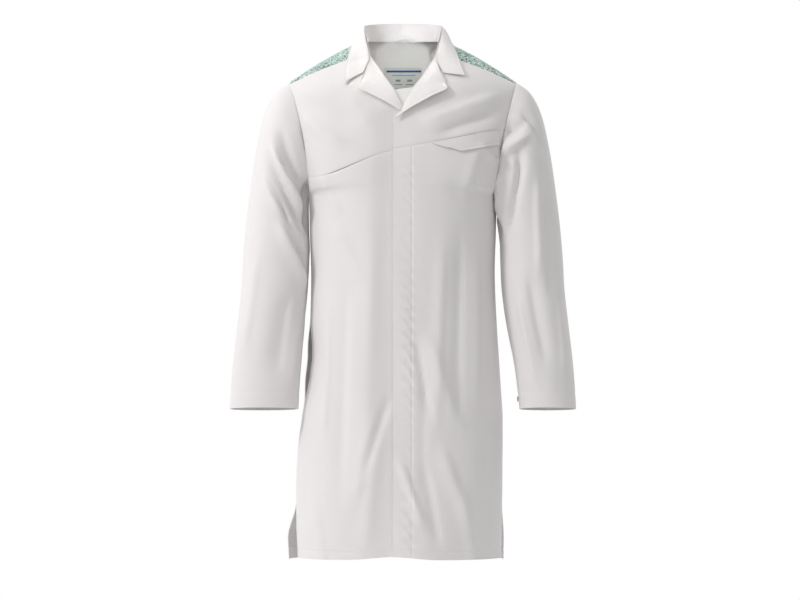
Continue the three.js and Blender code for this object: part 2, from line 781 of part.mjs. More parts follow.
const elbowX = inX + 76;
const cuffX = outX + 61;
const forearmMiddle = (elbowHeight - elbowReach + cuffHeight) / 2;
const sleeveRings = [
  armhole,
  ring(
    v3(outX + 30, 5, shoulderTipHeight - 23),
    v3(outX - 10, -70, armholeHeight - 7),
    v3(inX + 11, 2, underarmHeight - 7),
    v3(outX - 6, 78, armholeHeight - 7),
  ),
  ring(
    v3(outX + 52, 5, shoulderTipHeight - 65),
    v3(outX + 8, -76, armholeHeight - 33),
    v3(inX + 13, 1, underarmHeight - 29),
    v3(outX + 11, 80, armholeHeight - 31),
  ),
  ring(
    v3(outX + 66, 3, shoulderTipHeight - 125),
    v3(outX + 18, -78, armholeHeight - 77),
    v3(inX + 13, 0, underarmHeight - 56),
    v3(outX + 21, 78, armholeHeight - 73),
  ),
  ring(
    v3(outX + 78, 0, shoulderTipHeight - 205),
    v3(outX + 25, -77, armholeHeight - 141),
    v3(inX + 13, -2, underarmHeight - 82),
    v3(outX + 28, 74, armholeHeight - 137),
  ),
  sleeveLevel(elbowHeight + elbowReach, elbowX - 3, -6, elbowHalfWidth - 2, elbowHalfDepth + 2),
  sleeveLevel(elbowHeight, elbowX, -10, elbowHalfWidth, elbowHalfDepth),
  sleeveLevel(elbowHeight - elbowReach, elbowX + 7, -17, elbowHalfWidth, elbowHalfDepth - 6),
  sleeveLevel(forearmMiddle, (elbowX + cuffX) / 2 + 6, -25, cuffHalfWidth + 1, cuffHalfDepth + 8),
  sleeveLevel(cuffHeight, cuffX, -32, cuffHalfWidth, cuffHalfDepth),
];
const ringRails = {};
for (const key of ['top', 'front', 'bottom', 'back']) {
  ringRails[key] = sleeveRings.map((r) => r[key]);
}

function sleevePoint(angle, w) {
  const here = {};
  for (const [key, points] of Object.entries(ringRails)) here[key] = railPoint(points, w);
  return ringPoint(here, angle);
}

function sleeve(angle, w) {
  const e = 0.01;
  const point = sleevePoint(angle, w);
  const w0 = Math.max(w - e, 0);
  const w1 = Math.min(w + e, sleeveRings.length - 1);
  const along = sleevePoint(angle, w1).sub(sleevePoint(angle, w0));
  const round = sleevePoint(angle + e, w).sub(sleevePoint(angle - e, w));
  return { point, normal: along.cross(round).normalize() };
}

const headW = 4;
const elbowTopW = 5;
const elbowLowW = 7;
const cuffW = 9;
const bandW = cuffW - (2 * hemBand) / (elbowHeight - elbowReach - cuffHeight);
const ringGap = 0.005;
const ringSides = 18;
const tube = (w0, w1, rows) =>
  steps(rows).map((t) =>
    steps(ringSides - 1).map((_, i) =>
      sleeve((2 * Math.PI * i) / ringSides, mix(w0 + ringGap, w1 - ringGap, t)),
    ),
  );
for (const side of [1, -1]) {
  const name = word(side);
  const addTube = (part, w0, w1, rows, thickness = cloth) =>
    addCloth(`${name}_${part}`, both(side, tube(w0, w1, rows)), whiteCloth, thickness, true);
  addTube('sleeve_head', 0.08, headW, 6);
  addTube('upper_sleeve', headW, elbowTopW, 2);
  addTube('elbow', elbowTopW, elbowLowW, 4);
  addTube('forearm', elbowLowW, bandW, 2);
  addTube('cuff', bandW, cuffW, 1, cloth * 1.8);

  const height = cuffHeight + cuffStudHeight;
  const w = solve((n) => height - sleevePoint(Math.PI, n).z, elbowLowW, cuffW);
  const at = sleeve(Math.PI, w);
  const stud = new THREE.CylinderGeometry(studRadius, studRadius, 1.4, studSides);
  const mesh = add(`${name}_cuff_stud`, stud, darkSnap);
  const place = side > 0 ? at : mirrored(at);
  mesh.quaternion.setFromUnitVectors(v3(0, 1, 0), place.normal);
  mesh.position.copy(place.point).addScaledVector(place.normal, studGap + 1.75);
}

// ---- The frame's origin: the top of the hanger loop's middle ---------------------------

coat.position.set(0, -loopY, -loopZ);

export default coat;
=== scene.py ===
# %% [markdown]
# # A lab coat, made in Blender on its CAD frame
#
# The CAD model gives every cloth panel its place and size, but each one is a plain stiff
# shell. Here each panel is cut again from the same smooth surfaces on a fine grid, with the
# folds, seam puckers and hems that pressed cloth has. Everything is worked out in the
# tailor's units: millimetres, with the hem at z = 0 and the middle of the body at y = 0.

# %% Start from the frame
import math
import bpy
import numpy as np
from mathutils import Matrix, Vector


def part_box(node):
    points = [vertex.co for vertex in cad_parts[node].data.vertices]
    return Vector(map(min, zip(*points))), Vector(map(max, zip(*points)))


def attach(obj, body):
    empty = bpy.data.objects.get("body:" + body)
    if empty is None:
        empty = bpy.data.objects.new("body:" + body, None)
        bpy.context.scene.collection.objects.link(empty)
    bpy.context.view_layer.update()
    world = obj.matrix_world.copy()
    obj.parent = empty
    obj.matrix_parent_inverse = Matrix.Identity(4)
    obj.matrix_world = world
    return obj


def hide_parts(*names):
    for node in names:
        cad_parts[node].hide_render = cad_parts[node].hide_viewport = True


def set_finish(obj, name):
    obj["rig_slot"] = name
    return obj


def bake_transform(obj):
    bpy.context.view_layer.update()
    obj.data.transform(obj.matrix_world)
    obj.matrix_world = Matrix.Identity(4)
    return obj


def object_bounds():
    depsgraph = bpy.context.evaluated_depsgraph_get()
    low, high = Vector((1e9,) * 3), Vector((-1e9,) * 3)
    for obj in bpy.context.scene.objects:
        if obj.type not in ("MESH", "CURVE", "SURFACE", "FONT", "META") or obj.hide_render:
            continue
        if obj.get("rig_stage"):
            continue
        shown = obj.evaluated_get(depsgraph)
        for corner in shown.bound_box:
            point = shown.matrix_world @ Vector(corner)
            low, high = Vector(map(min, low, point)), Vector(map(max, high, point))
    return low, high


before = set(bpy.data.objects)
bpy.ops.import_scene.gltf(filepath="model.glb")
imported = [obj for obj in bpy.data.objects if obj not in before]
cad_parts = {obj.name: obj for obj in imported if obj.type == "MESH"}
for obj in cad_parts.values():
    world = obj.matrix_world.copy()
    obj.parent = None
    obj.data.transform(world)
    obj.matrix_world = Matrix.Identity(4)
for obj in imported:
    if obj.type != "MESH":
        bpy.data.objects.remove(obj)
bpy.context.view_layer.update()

# %% [markdown]
# The frame's origin is the top of the hanger loop, which is 1075 mm above the hem and
# 70.1 mm behind the middle of the body.

# %% From tailor's millimetres to the frame's metres
loop_height = 1075.0
loop_depth = 70.1


def to_frame(points):
    return (np.asarray(points, float) - (0.0, loop_depth, loop_height)) / 1000


# %% [markdown]
# ## The body's surface
#
# A coat's body is drawn like a ship's hull: a set of stations, each a cubic curve from the
# centre line out to the side, joined by a smooth spline. u runs from the centre to the
# side, and v from the front hem, over the shoulder, to the back hem. The armhole is the
# ring that the upper stations end on, and the sleeve starts on the same ring.

# %% Driving sizes of the body
waist_height, underarm_height, break_height = 560, 744, 928
shoulder_height, neck_height, fold_height = 975, 1056, 1100
hem_half, hip_half, waist_half, chest_half = 206, 200, 188, 192
shoulder_half, neck_half = 232, 80
hem_depth, waist_depth, blade_depth = 140, 126, 135
arm_mid = (underarm_height + shoulder_height) / 2
underlap, placket_width, fold_x, fold_top = 20, 38, 150, 826
placket_x = placket_width - underlap


def mix(a, b, t):
    return a + (b - a) * t


def ease(t):
    s = np.clip(t, 0, 1)
    return s * s * (3 - 2 * s)


def window(t, edge=0.25):
    return ease(t / edge) * ease((1 - t) / edge)


# %% Rings and splines
armhole = np.array([
    (shoulder_half, 5, shoulder_height),
    (chest_half + 11, -62, arm_mid - 2),
    (chest_half, 2, underarm_height),
    (chest_half + 10, 70, arm_mid),
], float)


def ring_point(ring, angle):
    """A point of the ring through four: top, front, underarm side and back."""
    top, front, bottom, back = np.moveaxis(np.asarray(ring, float), -2, 0)
    c, s = np.cos(angle)[..., None], np.sin(angle)[..., None]
    middle = (top + bottom) / 2
    cross = (front + back) / 2
    return middle + (top - bottom) * c / 2 + (front - back) * s / 2 + (cross - middle) * s * s


def arm_at(deg):
    return tuple(ring_point(armhole, np.radians(np.array(float(deg)))))


def spline(points, v):
    """A smooth curve through a list of points, v counting from one to the next."""
    points = np.asarray(points, float)
    last = len(points) - 1
    i = np.clip(np.floor(v).astype(int), 0, last - 1)
    t = (v - i)[..., None] if points.ndim == 2 else (v - i)[..., None, None]
    a, b, c, d = (points[np.clip(i + k, 0, last)] for k in (-1, 0, 1, 2))
    bend = 2 * a - 5 * b + 4 * c - d
    twist = 3 * b - a - 3 * c + d
    return b + t * (c - a + t * (bend + t * twist)) / 2


# %% The stations, wearer's left
def level(z, half, depth, side):
    x, y = half * 0.56, side * depth
    return [(0, y, z), (x, y, z), (half, y * 0.66, z), (half, armhole[2][1], z)]


def skirt(side):
    thirds = (0, waist_height / 3, waist_height * 2 / 3)
    return [
        level(thirds[0], hem_half, hem_depth, side),
        level(thirds[1], hem_half - 1, mix(hem_depth, waist_depth, 0.25), side),
        level(thirds[2], hip_half - 4, mix(hem_depth, waist_depth, 0.65), side),
        level(waist_height, waist_half, waist_depth, side),
        level(mix(waist_height, underarm_height, 0.55), chest_half - 2, waist_depth, side),
    ]


# Short names keep the rows of stations readable.
w, u_h, n_h, s_h, b_d = waist_depth, underarm_height, neck_height, shoulder_height, blade_depth
front_stations = [
    [(0, -w, u_h), (105, -w, u_h), (chest_half, -w * 0.68, u_h), arm_at(180)],
    [(0, 1 - w, u_h + 31), (103, -w, u_h + 28), (chest_half - 10, 22 - w, u_h + 18), arm_at(150)],
    [(0, 3 - w, u_h + 71), (98, 1 - w, u_h + 68), (chest_half - 20, 14 - w, u_h + 59), arm_at(120)],
    [(0, 8 - w, arm_mid - 2), (90, 5 - w, arm_mid - 4),
     (chest_half - 24, 16 - w, arm_mid - 9), arm_at(95)],
    [(0, 22 - w, break_height), (75, 15 - w, break_height - 10),
     (chest_half - 27, 26 - w, break_height - 20), arm_at(65)],
    [(neck_half * 0.52, -78, mix(break_height, n_h, 0.485)), (95, -82, n_h - 71),
     (175, -75, s_h - 10), arm_at(32)],
]
shoulder_line = [
    [(neck_half, 5, n_h), (neck_half + 45, 8, n_h - 14),
     (shoulder_half - 52, 8, mix(n_h, s_h, 0.55)), arm_at(0)],
]
back_stations = [
    [(neck_half * 0.56, 66, n_h + 7), (100, 62, n_h - 11), (172, 60, s_h + 20), arm_at(-32)],
    [(0, 84, n_h + 2), (75, 98, n_h - 21), (160, 100, s_h - 25), arm_at(-65)],
    [(0, b_d - 13, n_h - 96), (80, b_d - 11, n_h - 111), (165, b_d - 15, arm_mid + 21),
     arm_at(-95)],
    [(0, b_d - 1, arm_mid + 11), (90, b_d, arm_mid + 1), (170, b_d - 13, u_h + 71), arm_at(-120)],
    [(0, b_d, u_h + 56), (100, b_d, u_h + 51), (180, b_d - 24, u_h + 26), arm_at(-150)],
    [(0, b_d - 3, u_h), (105, b_d - 3, u_h), (chest_half, 90, u_h), arm_at(180)],
]
stations = np.array(
    skirt(-1) + front_stations + shoulder_line + back_stations + skirt(1)[::-1], float
)
last_station = len(stations) - 1
underarm_v, break_v, shoulder_v, back_underarm_v = 5, 9, 11, last_station - 5
arm_stops = [180, 150, 120, 95, 65, 32, 0, -32, -65, -95, -120, -150, -180]
print(len(stations), "stations")


# %% A point of the body
def body_point(u, v):
    u, v = np.broadcast_arrays(np.asarray(u, float), np.asarray(v, float))
    inner, p1, p2 = (spline(stations[:, k], v) for k in range(3))
    seam_v = np.where(v < shoulder_v, v, last_station - v)
    outer = spline(stations[:underarm_v + 1, 3], np.clip(seam_v, 0, underarm_v))
    angle = np.radians(np.interp(v - underarm_v, range(len(arm_stops)), arm_stops))
    on_arm = (v > underarm_v) & (v < back_underarm_v)
    outer = np.where(on_arm[..., None], ring_point(armhole, angle), outer)
    inner[..., 0] = np.maximum(inner[..., 0], 0)
    t = np.abs(u)[..., None]
    s = 1 - t
    p = inner * s ** 3 + p1 * (3 * s * s * t) + p2 * (3 * s * t * t) + outer * t ** 3
    p[..., 0] *= np.where(u < 0, -1, 1)
    return p


def rising(value, lo, hi, shape, turns=16):
    """The place between lo and hi where a rising value crosses zero, for every point."""
    a, b = np.full(shape, float(lo)), np.full(shape, float(hi))
    for _ in range(turns):
        m = (a + b) / 2
        low = value(m) < 0
        a, b = np.where(low, m, a), np.where(low, b, m)
    return (a + b) / 2


def u_at_x(x, v):
    x, v = np.broadcast_arrays(np.asarray(x, float), np.asarray(v, float))
    u = rising(lambda m: body_point(m, v)[..., 0] - np.abs(x), 0, 1, x.shape)
    return np.where(x < 0, -u, u)


def front_v(u, z):
    u, z = np.broadcast_arrays(np.asarray(u, float), np.asarray(z, float))
    return rising(lambda m: body_point(u, m)[..., 2] - z, 0, shoulder_v, z.shape)


def back_v(u, z):
    u, z = np.broadcast_arrays(np.asarray(u, float), np.asarray(z, float))
    return rising(lambda m: z - body_point(u, m)[..., 2], shoulder_v, last_station, z.shape)


def front_uv(x, z):
    """Where the front passes a given x and height: a few turns of one, then the other."""
    x, z = np.broadcast_arrays(np.asarray(x, float), np.asarray(z, float))
    u = x / chest_half * 0.8
    v = front_v(u, z)
    for _ in range(4):
        u = u_at_x(x, v)
        v = front_v(u, z)
    return u, v


at_fold = body_point(*front_uv(np.array([fold_x]), np.array([400.0])))
print("front at the fold line", at_fold.round(1))

# %% [markdown]
# ## Folds
#
# Pressed cotton twill folds in long soft ridges that start where the cloth is held: at the
# underarm, the flap and the placket. Each one here is a line with a width and a height,
# laid out on the flat of the front or back, and a slow ripple keeps the rest from being
# perfect. A cloth simulation would lose the crisp seams, so the folds are listed one by one.
# A fold in stiff cloth has one steep side and one slow one, and it catches more light.

# %% Heights of the side slit, the vent and the hem
slit_low, slit_high, vent_height, hem_turn = 315, 493, 130, 22


# %% Ridges and ripples
front_gain, front_steep, ripple_share = 1.25, 0.55, 0.8


def ridge(x, z, start, end, width, height, fade=0.3, steep=1.0):
    """A fold from start to end, proud of the cloth by height, fading at both ends.
    With steep below 1, one side of it drops sooner."""
    dx, dz = end[0] - start[0], end[1] - start[1]
    length = math.hypot(dx, dz)
    along = ((x - start[0]) * dx + (z - start[1]) * dz) / length ** 2
    off = ((x - start[0]) * dz - (z - start[1]) * dx) / length
    reach = np.where(off > 0, width, width * steep)
    return height * np.exp(-(off / reach) ** 2) * window(along, fade)


def ripple(x, z):
    slow = 0.7 * np.sin(x / 23 + z / 61) + 0.6 * np.sin(x / 37 - z / 47 + 1.3)
    return slow + 0.4 * np.sin(z / 29 + x / 53 + 0.7) + 0.25 * np.sin(x / 9 + z / 83 + 2.1)


# Each fold: (x, height) at its start and end, its width, and how far it stands out. A fold
# with a minus sign is a hollow.
front_folds = [
    ((82, 690), (68, 230), 15, 3.6),
    ((117, 700), (110, 230), 13, -4.4),
    ((150, 680), (148, 270), 14, 3.4),
    ((25, 470), (59, 270), 10, -4.4),
    ((42, 480), (127, 240), 17, 4.6),
    ((-12, 226), (48, 56), 11, 5.0),
    ((42, 216), (76, 16), 12, -5.0),
    ((72, 250), (146, 46), 16, 4.8),
    ((-22, 352), (-88, 150), 12, -4.4),
    ((-50, 320), (-104, 90), 15, 3.2),
    ((120, 170), (152, -30), 15, 3.6),
    ((44, 420), (40, 90), 11, -1.8),
    ((160, 860), (120, 720), 14, 2.6),
    ((20, 884), (214, 952), 20, 5.2),
    ((56, 862), (206, 916), 13, -4.2),
    ((150, 850), (196, 806), 10, 3.4),
    ((-60, 720), (-84, 120), 26, 2.6),
    ((-112, 620), (-128, 60), 16, -3.2),
    ((-150, 560), (-158, 200), 13, 2.6),
    ((-40, 330), (-88, -40), 20, 2.4),
    ((-150, 700), (-70, 560), 16, 2.0),
    ((-172, 800), (-120, 690), 13, 2.6),
    ((-216, 914), (-104, 836), 15, 4.4),
    ((-206, 950), (-80, 880), 15, -3.4),
    ((-60, 880), (-120, 950), 18, 2.2),
    ((-196, 800), (-176, 700), 9, 3.4),
    ((-176, 150), (-150, -30), 14, 2.4),
]
back_folds = [
    ((-46, 830), (-62, 60), 22, 4.2),
    ((52, 850), (44, 40), 24, 3.6),
    ((0, 760), (-8, -30), 18, -3.4),
    ((-120, 760), (-104, 80), 18, -3.6),
    ((118, 740), (112, 60), 17, -3.4),
    ((-150, 640), (-146, 40), 16, 3.4),
    ((152, 600), (150, 20), 16, 3.2),
    ((-170, 800), (-90, 880), 15, 2.6),
    ((172, 800), (96, 872), 15, 2.6),
    ((-110, 560), (-20, 530), 15, -1.6),
    ((30, 520), (130, 556), 15, -1.4),
]


lap_step, lap_edge, lap_ramp = 6.5, 24, 46


def step_back(x):
    """How far the wearer's right front lies behind the left one, near the centre line."""
    return lap_step * (1 - ease((-x - lap_edge) / lap_ramp))


# How far the coat's sides hang out beyond the CAD line, as (height, millimetres).
wide_right = [(0, 9), (60, 12), (160, 13), (250, 10), (330, 2), (410, -4), (480, -1), (600, 0)]
wide_left = [(0, -5), (80, -4), (200, -1), (300, 4), (380, 3), (480, 1), (600, 0)]


def side_spread(p, u, on_front):
    """Sideways shift of the skirt: more on the wearer's right, where the vent splays."""
    z = p[..., 2]
    right = np.interp(z, *zip(*wide_right))
    splay = ease((vent_height - 10 - z) / 80)
    right = right + np.where(on_front, 0, 19 * splay)
    gape = ease((z - slit_low) / 60) * ease((slit_high - z) / 60)
    right = right + np.where(on_front, -4.0, 5.0) * gape
    left = np.interp(z, *zip(*wide_left)) + np.where(on_front, 0, 5 * splay)
    near = ease((np.abs(u) - 0.25) / 0.75)
    return np.where(u < 0, -right, left) * near


def body_surface(u, v, under=0.0):
    """Points of the draped body: folds are laid along the surface's own normal."""
    e = 0.004
    u, v = np.broadcast_arrays(np.asarray(u, float), np.asarray(v, float))
    p = body_point(u, v)
    v0, v1 = np.clip(v - 5 * e, 0, last_station), np.clip(v + 5 * e, 0, last_station)
    sign = np.where(u < 0, -1.0, 1.0)
    a = np.minimum(np.abs(u) + e, 1)
    along_u = body_point(sign * a, v) - body_point(sign * (a - 2 * e), v)
    n = np.cross(along_u, body_point(u, v1) - body_point(u, v0)) * sign[..., None]
    n /= np.linalg.norm(n, axis=-1, keepdims=True)
    x, z = p[..., 0], p[..., 2]
    on_front = v < shoulder_v
    front = sum(ridge(x, z, *fold, steep=front_steep) for fold in front_folds) * front_gain
    back = sum(ridge(x, z, *fold) for fold in back_folds)
    calm = ease((1 - np.abs(u)) / 0.12) * ease(np.abs(v - shoulder_v) / 1.5)
    fold = np.where(on_front, front, back) + ripple(x, z) * ripple_share
    flare = 2.4 * np.sin(x / 31 + np.where(on_front, 0.4, 2.0)) * ease((260 - z) / 260)
    off = fold * calm + flare * ease((1 - np.abs(u)) / 0.12) - under
    moved = p + n * off[..., None]
    moved[..., 0] += side_spread(p, u, on_front)
    return moved


print(len(front_folds), "folds on the front and", len(back_folds), "on the back")

# %% [markdown]
# ## From a grid to a sewn panel
#
# A panel is a grid of points. It gets a back face one cloth thickness behind, and a rim
# all round. Where it is sewn to a neighbour both edges run into the same line, a little
# sunk, as a pressed seam is. Rows and columns crowd together at seams, so that the cloth
# can turn sharply there.

# %% Spacing and seams
near_seam = (0.7, 1.8, 3.2, 5.0)


def spread(length, step=6.0, lines=()):
    """Fractions of a length, step apart, with more of them close to its ends and lines."""
    marks = list(np.arange(0, length, step)) + [length]
    for place in (0, length, *lines):
        marks += [place] + [place + k for k in near_seam] + [place - k for k in near_seam]
    kept = [0.0]
    for m in sorted(m for m in marks if 0 < m < length - 0.3):
        if m - kept[-1] > 0.5:
            kept.append(m)
    return np.array(kept + [length]) / length


def grid_normals(p, wrap=False):
    down = np.gradient(p, axis=0)
    if wrap:
        across = (np.roll(p, -1, axis=1) - np.roll(p, 1, axis=1)) / 2
    else:
        across = np.gradient(p, axis=1)
    n = np.cross(across, down)
    return n / np.maximum(np.linalg.norm(n, axis=-1, keepdims=True), 1e-9)


def distance_from(p, side):
    """How far each point of a grid lies from one of its sides, along the grid."""
    axis = 0 if side in "NS" else 1
    steps = np.linalg.norm(np.diff(p, axis=axis), axis=-1)
    run = np.insert(np.cumsum(steps, axis=axis), 0, 0, axis=axis)
    if side in "NE":
        run = np.take(run, [-1], axis=axis) - run
    return run


def pinch(p, sides, depth=0.8, reach=2.2, wrap=False, outward=1):
    """Sinks a grid a little along the sides where it is sewn to a neighbour."""
    n = grid_normals(p, wrap) * outward
    for side in sides:
        d = distance_from(p, side)
        p = p - n * (depth * np.exp(-(d / reach) ** 2))[..., None]
    return p


print("a row of 100 mm gets", len(spread(100)), "columns")
pieces = {}
flat_sizes = {}


def panel(name, p, out, thickness=0.9, wrap=False):
    """A cloth panel from a grid of points. out is +1 where rows x columns face outward."""
    rows, cols = p.shape[:2]
    n = grid_normals(p, wrap) * out
    both = np.concatenate([p.reshape(-1, 3), (p - n * thickness).reshape(-1, 3)])
    i, j = np.meshgrid(np.arange(rows - 1), np.arange(cols if wrap else cols - 1), indexing="ij")
    a, b = i * cols + j, i * cols + (j + 1) % cols
    c, d = b + cols, a + cols
    outer = np.stack([a, b, c, d], -1).reshape(-1, 4)
    if out < 0:
        outer = outer[:, ::-1]
    faces = [outer, outer[:, ::-1] + rows * cols]
    borders = {
        "S": [(k, (k + 1) % cols) for k in range(cols if wrap else cols - 1)],
        "N": [((rows - 1) * cols + (k + 1) % cols, (rows - 1) * cols + k)
              for k in range(cols if wrap else cols - 1)],
        "E": [(k * cols + cols - 1, (k + 1) * cols + cols - 1) for k in range(rows - 1)],
        "W": [((k + 1) * cols, k * cols) for k in range(rows - 1)],
    }
    for side in "NS" if wrap else "NESW":
        edge = np.array(borders[side])
        if out < 0:
            edge = edge[:, ::-1]
        s, t = edge[:, 0], edge[:, 1]
        faces.append(np.stack([t, s, s + rows * cols, t + rows * cols], -1))
    mesh = bpy.data.meshes.new(name)
    mesh.from_pydata(to_frame(both).tolist(), [], np.concatenate(faces).tolist())
    mesh.validate()
    mesh.shade_smooth()
    mesh.set_sharp_from_angle(angle=math.radians(50))
    piece = bpy.data.objects.new(name, mesh)
    bpy.context.collection.objects.link(piece)
    size = np.linalg.norm(np.diff(p, axis=1), axis=-1).sum(1).max() / 1000
    tall = np.linalg.norm(np.diff(p, axis=0), axis=-1).sum(0).max() / 1000
    cross = np.cross(p[1:, :-1] - p[:-1, :-1], p[:-1, 1:] - p[:-1, :-1])
    area = float(np.linalg.norm(cross, axis=-1).sum() / 1e6)
    piece["printed_faces"] = len(outer)
    pieces[name] = piece
    flat_sizes[name] = (round(float(size), 3), round(float(tall), 3), area)
    return piece


def hung(piece, slot, *nodes, body="coat_body"):
    """Gives a panel its finish's slot, hides the CAD nodes it stands for and hangs it on its body,
    if it has one.
    """
    width, length, area = flat_sizes[piece.name]
    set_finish(piece, slot)
    if nodes:
        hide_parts(*nodes)
    if body:
        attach(piece, body)
    area = min(max(area, 0.31 * width * length), width * length)
    return piece


# %% [markdown]
# ## Fronts
#
# Each front is cut in three along lines that the wearer's hands and the hinges need: the
# part that opens, from the centre edge to the fold line; the side of the front, which
# stays on the body; and the yoke above the chest seam. The wearer's left front laps over
# the right one, and carries the placket that hides the press studs.

# %% Chest seams and the hem
# At the side the chest seam ends far lower on the wearer's right than on the left.
left_seam_side, right_seam_side, seam_centre = 875, 778, 834
print_front_v, print_back_v = shoulder_v - 0.42, shoulder_v + 0.95


def left_seam(x):
    share = np.clip((x + underlap) / (chest_half + underlap), 0, 1)
    return mix(seam_centre, left_seam_side, share)


def right_seam(x):
    return mix(seam_centre, right_seam_side, ease(x / chest_half))


def front_grid(xs, low, high, rows, lap=lambda x: 0 * x):
    """A grid of the front between two lines of height, at the given x places."""
    x = xs[None, :] + 0 * rows[:, None]
    z = mix(low(xs)[None, :], high(xs)[None, :], rows[:, None])
    u, v = front_uv(x, z)
    return body_surface(u, v, lap(x))


def flat_line(z):
    return lambda x: z + 0 * x


def groove(p, d, depth=0.7, reach=1.6, out=1):
    """A line of stitching at distance d = 0, drawn a little into the cloth."""
    n = grid_normals(p) * out
    return p - n * (depth * np.exp(-(d / reach) ** 2))[..., None]


def pucker(z, d, height=3.0, pitch=27.0, reach=9.0):
    """Short slanted waves that a stitched line leaves in the cloth beside it."""
    phase = (z + 0.8 * d) * 2 * math.pi / pitch + 1.5 * np.sin(z / 41)
    uneven = 0.65 + 0.35 * np.sin(z / 67 + 1.1)
    return height * uneven * np.sin(phase) * np.exp(-(d / reach) ** 2)


def front_hem(x):
    """The hem's height: the fronts hang a little shorter where they meet."""
    return 5 + 7 * np.exp(-((x + underlap) / 60) ** 2)


# %% The part of each front that opens
stitch_x, pucker_inset = placket_x, 7
left_xs = mix(-underlap, fold_x, spread(fold_x + underlap, lines=(4, stitch_x + underlap)))
rows_open = spread(fold_top, step=5, lines=(hem_turn,))
left_open = front_grid(left_xs, front_hem, flat_line(fold_top), rows_open)
x, z = left_open[..., 0], left_open[..., 2]
left_open = groove(left_open, x - stitch_x)
left_open = groove(left_open, z - hem_turn, 0.6)
fade_low, fade_high = ease(z / 60), ease((fold_top - z) / 40)
left_open[..., 1] -= pucker(z, x - stitch_x + pucker_inset) * fade_low * fade_high
hung(panel("left_front_skirt", left_open, 1), "white_cloth",
     "left_front", "placket", body=None)

right_xs = mix(-fold_x, underlap, spread(fold_x + underlap))
right_open = front_grid(right_xs, front_hem, lambda x: right_seam(np.maximum(-x, 0)),
                        rows_open, step_back)
right_open = groove(right_open, right_open[..., 2] - hem_turn, 0.6)
right_open = pinch(right_open, "N")
hung(panel("right_front_skirt", right_open, 1), "white_cloth", "right_front", body=None)
print("opening fronts", left_open.shape[:2], right_open.shape[:2])


# %% The sides of the fronts, with the pocket slit and the vent
def slit_gape(z):
    return 0.016 * ease((z - slit_low) / 25) * ease((slit_high - z) / 25)


def vent_gape(z):
    return 0.014 * ease((vent_height - z) / 20)


def side_grid(seam):
    """From the fold line round to the side seam, starting at the front's hem."""
    cols = spread(95, step=6)
    rows = spread(fold_top, step=6, lines=(hem_turn, slit_low, slit_high, vent_height))
    s, t = np.meshgrid(cols, rows)
    u = np.full(s.shape, 0.85)
    for _ in range(3):
        seam_x = body_point(u, np.full(s.shape, 7.0))[..., 0]
        high = front_v(u, seam(seam_x))
        v = t * high
        height = body_point(u, v)[..., 2]
        hem_v = front_v(u, front_hem(0 * u + fold_x))
        v = np.maximum(v, hem_v * (1 - t))
        u = mix(u_at_x(fold_x, v), 1 - slit_gape(height) - vent_gape(height), s)
    return u, v


for side, seam in ((1, left_seam), (-1, right_seam)):
    name = "left" if side > 0 else "right"
    u, v = side_grid(seam)
    p = body_surface(u * side, v)
    p = groove(p, p[..., 2] - hem_turn, 0.6, out=side)
    p = pinch(p, "N", outward=side)
    p = pinch(p, "E", 0.8, outward=side)
    hung(panel(f"{name}_side", p, side), "white_cloth", f"{name}_front_side")

chest = front_grid(left_xs, flat_line(fold_top),
                   lambda x: np.maximum(left_seam(x), fold_top + 0.2), spread(34, step=5))
chest = groove(chest, chest[..., 0] - stitch_x)
chest = pinch(chest, "N")
hung(panel("left_chest", chest, 1), "white_cloth", "left_pocket_panel")
print("sides and chest", p.shape[:2], chest.shape[:2])

# %% [markdown]
# ## Yokes and the printed shoulders
#
# The yoke of each front runs from the chest seam to the printed band. Above the top stud
# its centre edge turns away under the lapel, so the grid's first column follows the centre
# line up to the break and then the neckline.

# %% Front yokes
def yoke_grid(side, seam, lap, under_start):
    """From the chest seam up to the printed band, and from the centre to the armhole."""
    cols = spread(200, step=6, lines=(placket_width,) if side > 0 else ())
    rows = spread(190, step=5)
    s, t = np.meshgrid(cols, rows)
    centre_x = -underlap
    corner_u = float(u_at_x(np.array([centre_x]), np.array([7.5]))[0])
    u0 = mix(corner_u, 1.0, s)
    seam_x = body_point(u0, np.full(s.shape, 7.5))[..., 0]
    v = mix(front_v(u0, seam(seam_x)), print_front_v, t)
    rolled = ease((v - break_v + under_start) * 2)
    start = mix(u_at_x(np.full(s.shape, float(centre_x)), np.minimum(v, break_v)), 0.002, rolled)
    u = mix(start, 1.0, s)
    x = body_point(np.abs(u), v)[..., 0] * np.where(u < 0, -1, 1)
    behind = lap(-x) * (1 - ease((v - break_v + 0.4) * 2))
    return body_surface(u * side, v, behind)


p = yoke_grid(1, left_seam, lambda x: 0 * x, 0)
p = groove(p, np.where(p[..., 2] < break_height - 16, p[..., 0] - stitch_x, 99))
p = pinch(p, "SN")
p = pinch(p, "E", 0.5)
hung(panel("left_yoke", p, 1), "white_cloth", "left_front_yoke", "placket_top")
p = yoke_grid(-1, right_seam, step_back, 0.7)
p = pinch(p, "SN", outward=-1)
p = pinch(p, "E", 0.5, outward=-1)
hung(panel("right_yoke", p, -1), "white_cloth", "right_front_yoke")
print("yokes", p.shape[:2])

# %% Printed shoulder bands
for side, name in ((1, "left"), (-1, "right")):
    s, t = np.meshgrid(spread(170, step=6), spread(80, step=6))
    p = body_surface(mix(0.012, 1.0, s) * side, mix(print_front_v, print_back_v, t))
    p = pinch(p, "SN", outward=side)
    p = pinch(p, "E", 0.5, outward=side)
    hung(panel(f"{name}_print", p, side), "print_cloth", f"{name}_shoulder_panel")
print("printed bands", p.shape[:2])

# %% [markdown]
# ## Back, its yoke and the facing inside the neck
#
# The back is one wide panel below a straight seam, and the yoke above it runs up to the
# neck and the printed bands. The yoke's top row is bent round the neck, so the grid's
# columns fan out from it. The facing is a second layer inside, which carries the label.

